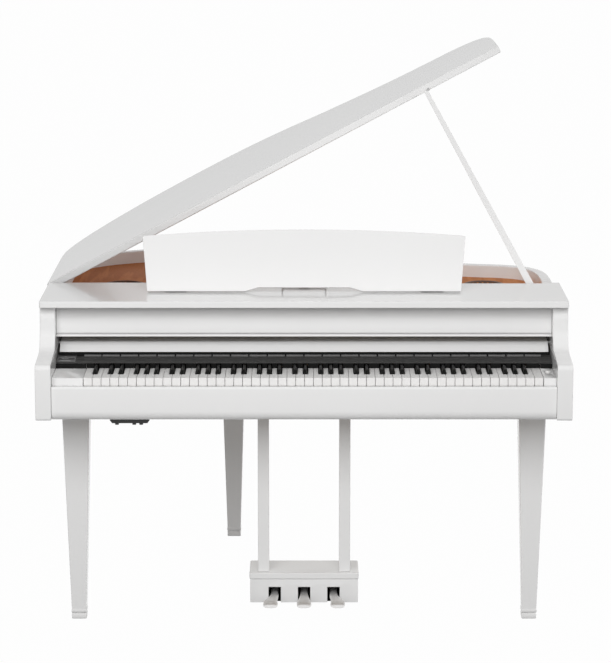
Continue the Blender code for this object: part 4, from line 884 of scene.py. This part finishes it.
def make_pedal(name, number):
    """A pedal: an oval section carried from the axle out to a broad toe that leans aside.

    The half width, the half thickness, the sideways lean and the fall are curves of the depth. The
    oval is (cos, sin) with each part's size to the power of 0.75.
    """
    rows = np.array([
        (PEDAL_TIP, 0.0060, 0.0012), (0.1205, 0.0130, 0.0036), (0.123, 0.0176, 0.0054),
        (0.128, 0.0196, 0.0068), (0.136, 0.0200, 0.0076), (0.146, 0.0192, 0.0076),
        (0.158, 0.0174, 0.0072), (0.172, 0.0150, 0.0066), (0.188, 0.0128, 0.0060),
        (0.206, 0.0112, 0.0056), (0.235, 0.0100, 0.0056), (0.300, 0.0095, 0.0060),
        (0.320, 0.0095, 0.0060), (PEDAL_REAR, 0.0075, 0.0050)])
    depth, wide, thick = rows.T
    lean = number * 0.011 * np.clip((0.212 - depth) / 0.06, 0, 1) ** 1.3
    fine = np.concatenate([np.linspace(PEDAL_TIP, 0.128, 9), np.linspace(0.130, PEDAL_REAR, 40)])
    wide, thick, lean = (np.interp(fine, depth, values) for values in (wide, thick, lean))
    turn = np.linspace(0, 2 * np.pi, 32, endpoint=False)
    oval_x = np.sign(np.cos(turn)) * np.abs(np.cos(turn)) ** 0.75
    oval_z = np.sign(np.sin(turn)) * np.abs(np.sin(turn)) ** 0.75
    x = number * PEDAL_PITCH + lean[:, None] + wide[:, None] * oval_x[None]
    fall = 0.0055 * np.clip((0.165 - fine) / 0.045, 0, 1) ** 2
    z = joint_place(name + "_pedal_press").z - fall[:, None] + thick[:, None] * oval_z[None]
    y = np.broadcast_to(back(fine)[:, None], x.shape)
    add_shape("pedal_" + name + "_polished", [ringed(np.stack([x, y, z], -1))], "silver",
              name + "_pedal", replaces=["pedal_" + name])


# Music rest
def make_music_rest():
    """The rest, shaped upright in its own frame, leaned back about its hinge line.

    Its top edge rises from the ends to the middle as 1 - (x / half width)^2, and a notch with sloped
    sides is cut into its foot.
    """
    hinge = joint_place("rest_fold")
    low, high = REST_FOOT_WIDTH / 2, REST_TOP_WIDTH / 2
    rise = REST_MIDDLE_HEIGHT - REST_END_HEIGHT
    foot = -REST_BELOW_HINGE / math.cos(REST_LEAN)
    x = np.linspace(high, -high, 41)
    crown = np.stack([x, foot + REST_END_HEIGHT + rise * (1 - (x / high) ** 2)], 1)
    notch_low, notch_high, notch_top = NOTCH_FOOT_WIDTH / 2, NOTCH_TOP_WIDTH / 2, foot + NOTCH_HEIGHT
    base = [(-low, foot), (-notch_low, foot), (-notch_high, notch_top), (notch_high, notch_top),
            (notch_low, foot), (low, foot)]
    ease = [0.003, 0.001, 0.003, 0.003, 0.001, 0.003, 0.004] + [0.0] * 39 + [0.004]
    outline = eased_corners(np.concatenate([base, crown]), ease)
    shape = eased_slab(outline, "XZ", -REST_BEHIND_HINGE - REST_THICK, -REST_BEHIND_HINGE, 0.0018)
    turn = Matrix.Translation(hinge) @ Matrix.Rotation(-REST_LEAN, 4, "X")
    add_lacquered("music_rest", [moved(shape, turn)], "rest")


# Stay and speakers
def make_stay():
    """The flat stay with its pivot hole, shaped along +X from its pivot, then turned up to the peg.

    Each point of the hole lies at the angle of the outline's point, atan2(y, x), so that rings of
    the same count run over both faces and through the hole.
    """
    pivot = joint_place("stay_fold")
    half = STAY_THICK / 2
    foot = arc((0, 0), STAY_FOOT_RADIUS, 90, 270, 24)
    tip = arc((STAY_LENGTH, 0), STAY_TIP_RADIUS, -90, 90, 24)
    outline = counterclockwise(np.concatenate([foot, tip]))
    turn = np.arctan2(outline[:, 1], outline[:, 0] - 0.0001)
    hole = STAY_HOLE_RADIUS * np.stack([np.cos(turn), np.sin(turn)], 1)
    t = np.linspace(0, 1, 4)
    insets = np.concatenate([[STAY_EASE + SUPPORT], STAY_EASE * (1 - t) ** 2])
    heights = half - np.concatenate([[0.0], STAY_EASE * t ** 2])
    near, far = ([placed("XZ", *moved_in(outline, d).T, h) for d, h in zip(insets, side * heights)]
                 for side in (1, -1))
    bore = [placed("XZ", *(hole * wider).T, h) for wider, h in (
        (1.20, -half), (1.10, -half), (1.0, 0.0004 - half), (1.0, half - 0.0004), (1.10, half),
        (1.20, half))]
    shape = ringed(np.stack(near + far[::-1] + bore), closed=True)
    place = Matrix.Translation(pivot) @ Matrix.Rotation(-STAY_LEAN, 4, "Y")
    add_lacquered("lid_stay", [moved(shape, place)], "stay")


def make_speakers():
    """A cone with a domed cap and a rolled surround, turned in one profile, under a dark round rim.

    The profiles are rows of (radius, height). The cap falls as t^2, the cone rises as t^1.2 and the
    surround is half a sine wave.
    """
    t = np.linspace(0, 1, 9)
    cap = np.stack([0.0180 * t + 0.0004, -0.0160 - 0.006 * t ** 2], 1)
    cone = np.stack([0.0184 + 0.0196 * t[1:], -0.0220 + 0.0140 * t[1:] ** 1.2], 1)
    roll = np.stack([0.0380 + 0.0085 * t[1:], -0.0080 + 0.0035 * np.sin(np.pi * t[1:])], 1)
    turn = np.radians(np.linspace(180, 0, 13))
    rim = np.stack([0.0545 + 0.0055 * np.cos(turn), 0.0003 + 0.0040 * np.sin(turn)], 1)
    basket = [(0.0482, -0.0078), (0.0482, -0.0090), (0.0340, -0.0350), (0.0340, -0.0550)]
    for name in ("speaker_left", "speaker_right"):
        low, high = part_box(name)
        centre = ((low.x + high.x) / 2, (low.y + high.y) / 2, high.z - 0.004)
        add_shape(name + "_cone", [turned(np.concatenate([cap, cone, roll, basket]), centre, sides=72)],
                  "paper_cone", "root", replaces=[name])
        ring = np.concatenate([[(0.0485, -0.0085), (0.0485, 0.0)], rim,
                               [(0.0590, 0.0), (0.0495, 0.0), (0.0495, -0.0085)]])
        add_shape(name + "_rim", [turned(ring, centre, sides=72)], "speaker_ring", "root")


# Marks and buttons on the control panel
def panel_top(y):
    """Height of the control panel's sloped top at a Y."""
    front, rear = back(PANEL_FRONT) + PANEL_EDGE, back(PANEL_BACK)
    return PANEL_LOW + (PANEL_HIGH - PANEL_LOW) * (y - front) / (rear - front)


def laid_on_panel(shape):
    """A shape made on level 0, laid on the panel's sloped top."""
    points, faces, caps = shape
    points = points.copy()
    points[:, 2] += panel_top(points[:, 1])
    return points, faces, caps


def make_slider_plate():
    """The lighter plate with a window for the slider: rings from its outer edge in to the window."""
    low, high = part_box("volume_slider")
    middle, start = (low.y + high.y) / 2, low.x - 0.0012
    end = start + SLIDER_WINDOW
    outer = eased_corners(box_outline((PLATE_START, back(PLATE_FRONT)), (PLATE_END, back(PLATE_BACK))),
                          0.0012)
    inner = eased_corners(box_outline((start, middle - 0.0018), (end, middle + 0.0018)), 0.0006)
    rings = [(outer, -0.0001), (outer, 0.0002), (moved_in(outer, 0.0002), 0.0004),
             (inner, 0.0004), (inner, -0.0001)]
    rings = np.stack([placed("XY", *outline.T, h) for outline, h in rings])
    add_shape("slider_plate", [laid_on_panel(ringed(rings, closed=True))], "panel_inlay", "root")


def make_volume_arcs():
    """Three flat arcs about one centre, each between two radii."""
    centre = (ARC_CENTRE, back(PLATE_BACK))
    arcs = []
    for radius in ARC_RADII:
        outline = np.concatenate([arc(centre, radius + ARC_HALF_WIDTH, 246, 294, 16),
                                  arc(centre, radius - ARC_HALF_WIDTH, 294, 246, 16)])
        arcs.append(laid_on_panel(eased_slab(outline, "XY", 0.0003, 0.0006, 0.0001, 2)))
    add_shape("volume_arcs", arcs, "supply_case", "root")


def make_button_bed():
    """The dark bed that the buttons lie in, and a dark strip that stands behind the panel."""
    bed = eased_corners(box_outline((-0.6190, back(BUTTONS_FRONT - 0.0005)),
                                    (0.6470, back(BUTTONS_BACK + 0.0005))), 0.0005)
    half = INNER_HALF - 0.003
    strip = eased_box((-half, back(PANEL_BACK + 0.0001), PANEL_UNDER + 0.0100),
                      (half, back(PANEL_BACK + 0.0011), PANEL_UNDER + 0.0185), 0.0002)
    add_shape("button_bed", [laid_on_panel(eased_slab(bed, "XY", -0.0002, 0.0003, 0.0001, 2)), strip],
              "black_rubber", "root")


def make_panel_buttons():
    """The row of flush buttons, the last one cut short."""
    buttons = []
    for number in range(BUTTON_COUNT):
        left = BUTTONS_LEFT + number * BUTTON_PITCH + BUTTON_GAP / 2
        right = min(left + BUTTON_PITCH - BUTTON_GAP, BUTTONS_RIGHT)
        outline = eased_corners(
            box_outline((left, back(BUTTONS_FRONT)), (right, back(BUTTONS_BACK))), 0.0005)
        buttons.append(laid_on_panel(eased_slab(outline, "XY", -0.0002, 0.0012, 0.0004, 3)))
    add_shape("panel_buttons", buttons, "button_row", "root")


# Stage, lamps and camera
def stage_material(name, level, shown):
    """A pale surface that the camera and glossy rays see closer to white than the light it gives back."""
    material = bpy.data.materials.new(name)
    material.use_nodes = True
    tree = material.node_tree
    tree.nodes.clear()
    out = tree.nodes.new("ShaderNodeOutputMaterial")
    body = add_node(tree, "ShaderNodeBsdfDiffuse", links={"Color": grey(level)})
    glow = add_node(tree, "ShaderNodeEmission", links={"Color": grey(1.0), "Strength": 1.0})
    path = tree.nodes.new("ShaderNodeLightPath")
    seen = add_math(tree, "MAXIMUM", path.outputs["Is Camera Ray"], path.outputs["Is Glossy Ray"])
    seen = add_math(tree, "MAXIMUM", seen, path.outputs["Is Transmission Ray"])
    share = add_math(tree, "MULTIPLY", seen, shown)
    mix = add_node(tree, "ShaderNodeMixShader", links={0: share, 1: body.outputs[0], 2: glow.outputs[0]})
    tree.links.new(mix.outputs[0], out.inputs["Surface"])
    return material


def make_stage():
    """A flat square floor, far larger than the view."""
    mesh = bpy.data.meshes.new("floor")
    half = 30.0
    mesh.from_pydata([(-half, -half, 0), (half, -half, 0), (half, half, 0), (-half, half, 0)], [],
                     [(0, 1, 2, 3)])
    mesh.materials.append(stage_material("pale_floor", 0.24, 0.985))
    new_object("floor", mesh)


def make_world():
    """An even white surround: dim as a light, brighter in reflections and white to the camera."""
    world = bpy.data.worlds.new("studio")
    bpy.context.scene.world = world
    world.use_nodes = True
    tree = world.node_tree
    background = tree.nodes["Background"]
    path = tree.nodes.new("ShaderNodeLightPath")
    seen = add_math(tree, "MAXIMUM", path.outputs["Is Camera Ray"],
                    path.outputs["Is Transmission Ray"])
    strength = add_math(tree, "MULTIPLY_ADD", path.outputs["Is Glossy Ray"], 0.38, 0.40)
    strength = add_math(tree, "MULTIPLY_ADD", seen, 0.60, strength)
    background.inputs["Color"].default_value = (1, 1, 1, 1)
    tree.links.new(strength, background.inputs["Strength"])


def add_lamp(name, place, target, size, power):
    """A rectangular lamp, turned to its target, that reflections don't show."""
    light = bpy.data.lights.new(name, "AREA")
    light.shape = "RECTANGLE"
    light.size, light.size_y = size
    light.energy = power
    lamp = new_object(name, light)
    lamp.location = place
    lamp.rotation_mode = "QUATERNION"
    lamp.rotation_quaternion = (Vector(target) - Vector(place)).to_track_quat("-Z", "Y")
    lamp.visible_glossy = False


def make_lamps():
    """A broad lamp from the front, a low one, and softer ones from the right and from behind."""
    add_lamp("front_lamp", (-0.4, -4.4, 3.2), (0, -0.3, 0.8), (4.4, 3.0), 156)
    add_lamp("low_lamp", (-0.2, -4.8, 1.0), (0, -0.3, 0.8), (4.0, 1.0), 16)
    add_lamp("right_lamp", (3.8, 0.2, 1.2), (0, 0, 1.1), (2.0, 1.6), 50)
    add_lamp("back_lamp", (0.8, 5.6, 2.4), (0, 0.4, 0.7), (5.0, 2.4), 85)


def make_camera():
    """The photograph's viewing angle: from the front, well above the keys, and tilted down."""
    camera_data = bpy.data.cameras.new("camera")
    camera_data.sensor_width = 36
    camera_data.lens = 148.88
    camera = new_object("camera", camera_data)
    camera.location = (0.0039, -7.739, 2.228)
    camera.rotation_euler = (math.radians(90 - 10.887), 0, 0)
    bpy.context.scene.camera = camera


dress_nodes()
for node_name, node_body, edge in EASED_NODES:
    ease_node(node_name, node_body, edge)
bpy.data.objects["volume_slider_eased"].data.materials[0] = FINISHES["panel_inlay"]
make_rim()
make_arms()
make_key_slip()
make_name_board()
make_top_board()
make_lid()
make_painted_panel_shade(make_keys())
make_key_cover()
for leg, leg_x, leg_depth in LEGS:
    make_leg(leg, leg_x, leg_depth)
make_lyre()
make_pedal_room()
make_pedal("left", -1)
make_pedal("middle", 0)
make_pedal("right", 1)
make_music_rest()
make_stay()
make_speakers()
make_slider_plate()
make_volume_arcs()
make_button_bed()
make_panel_buttons()
make_stage()
make_world()
make_lamps()
make_camera()
bpy.context.scene.view_settings.view_transform = "Standard"
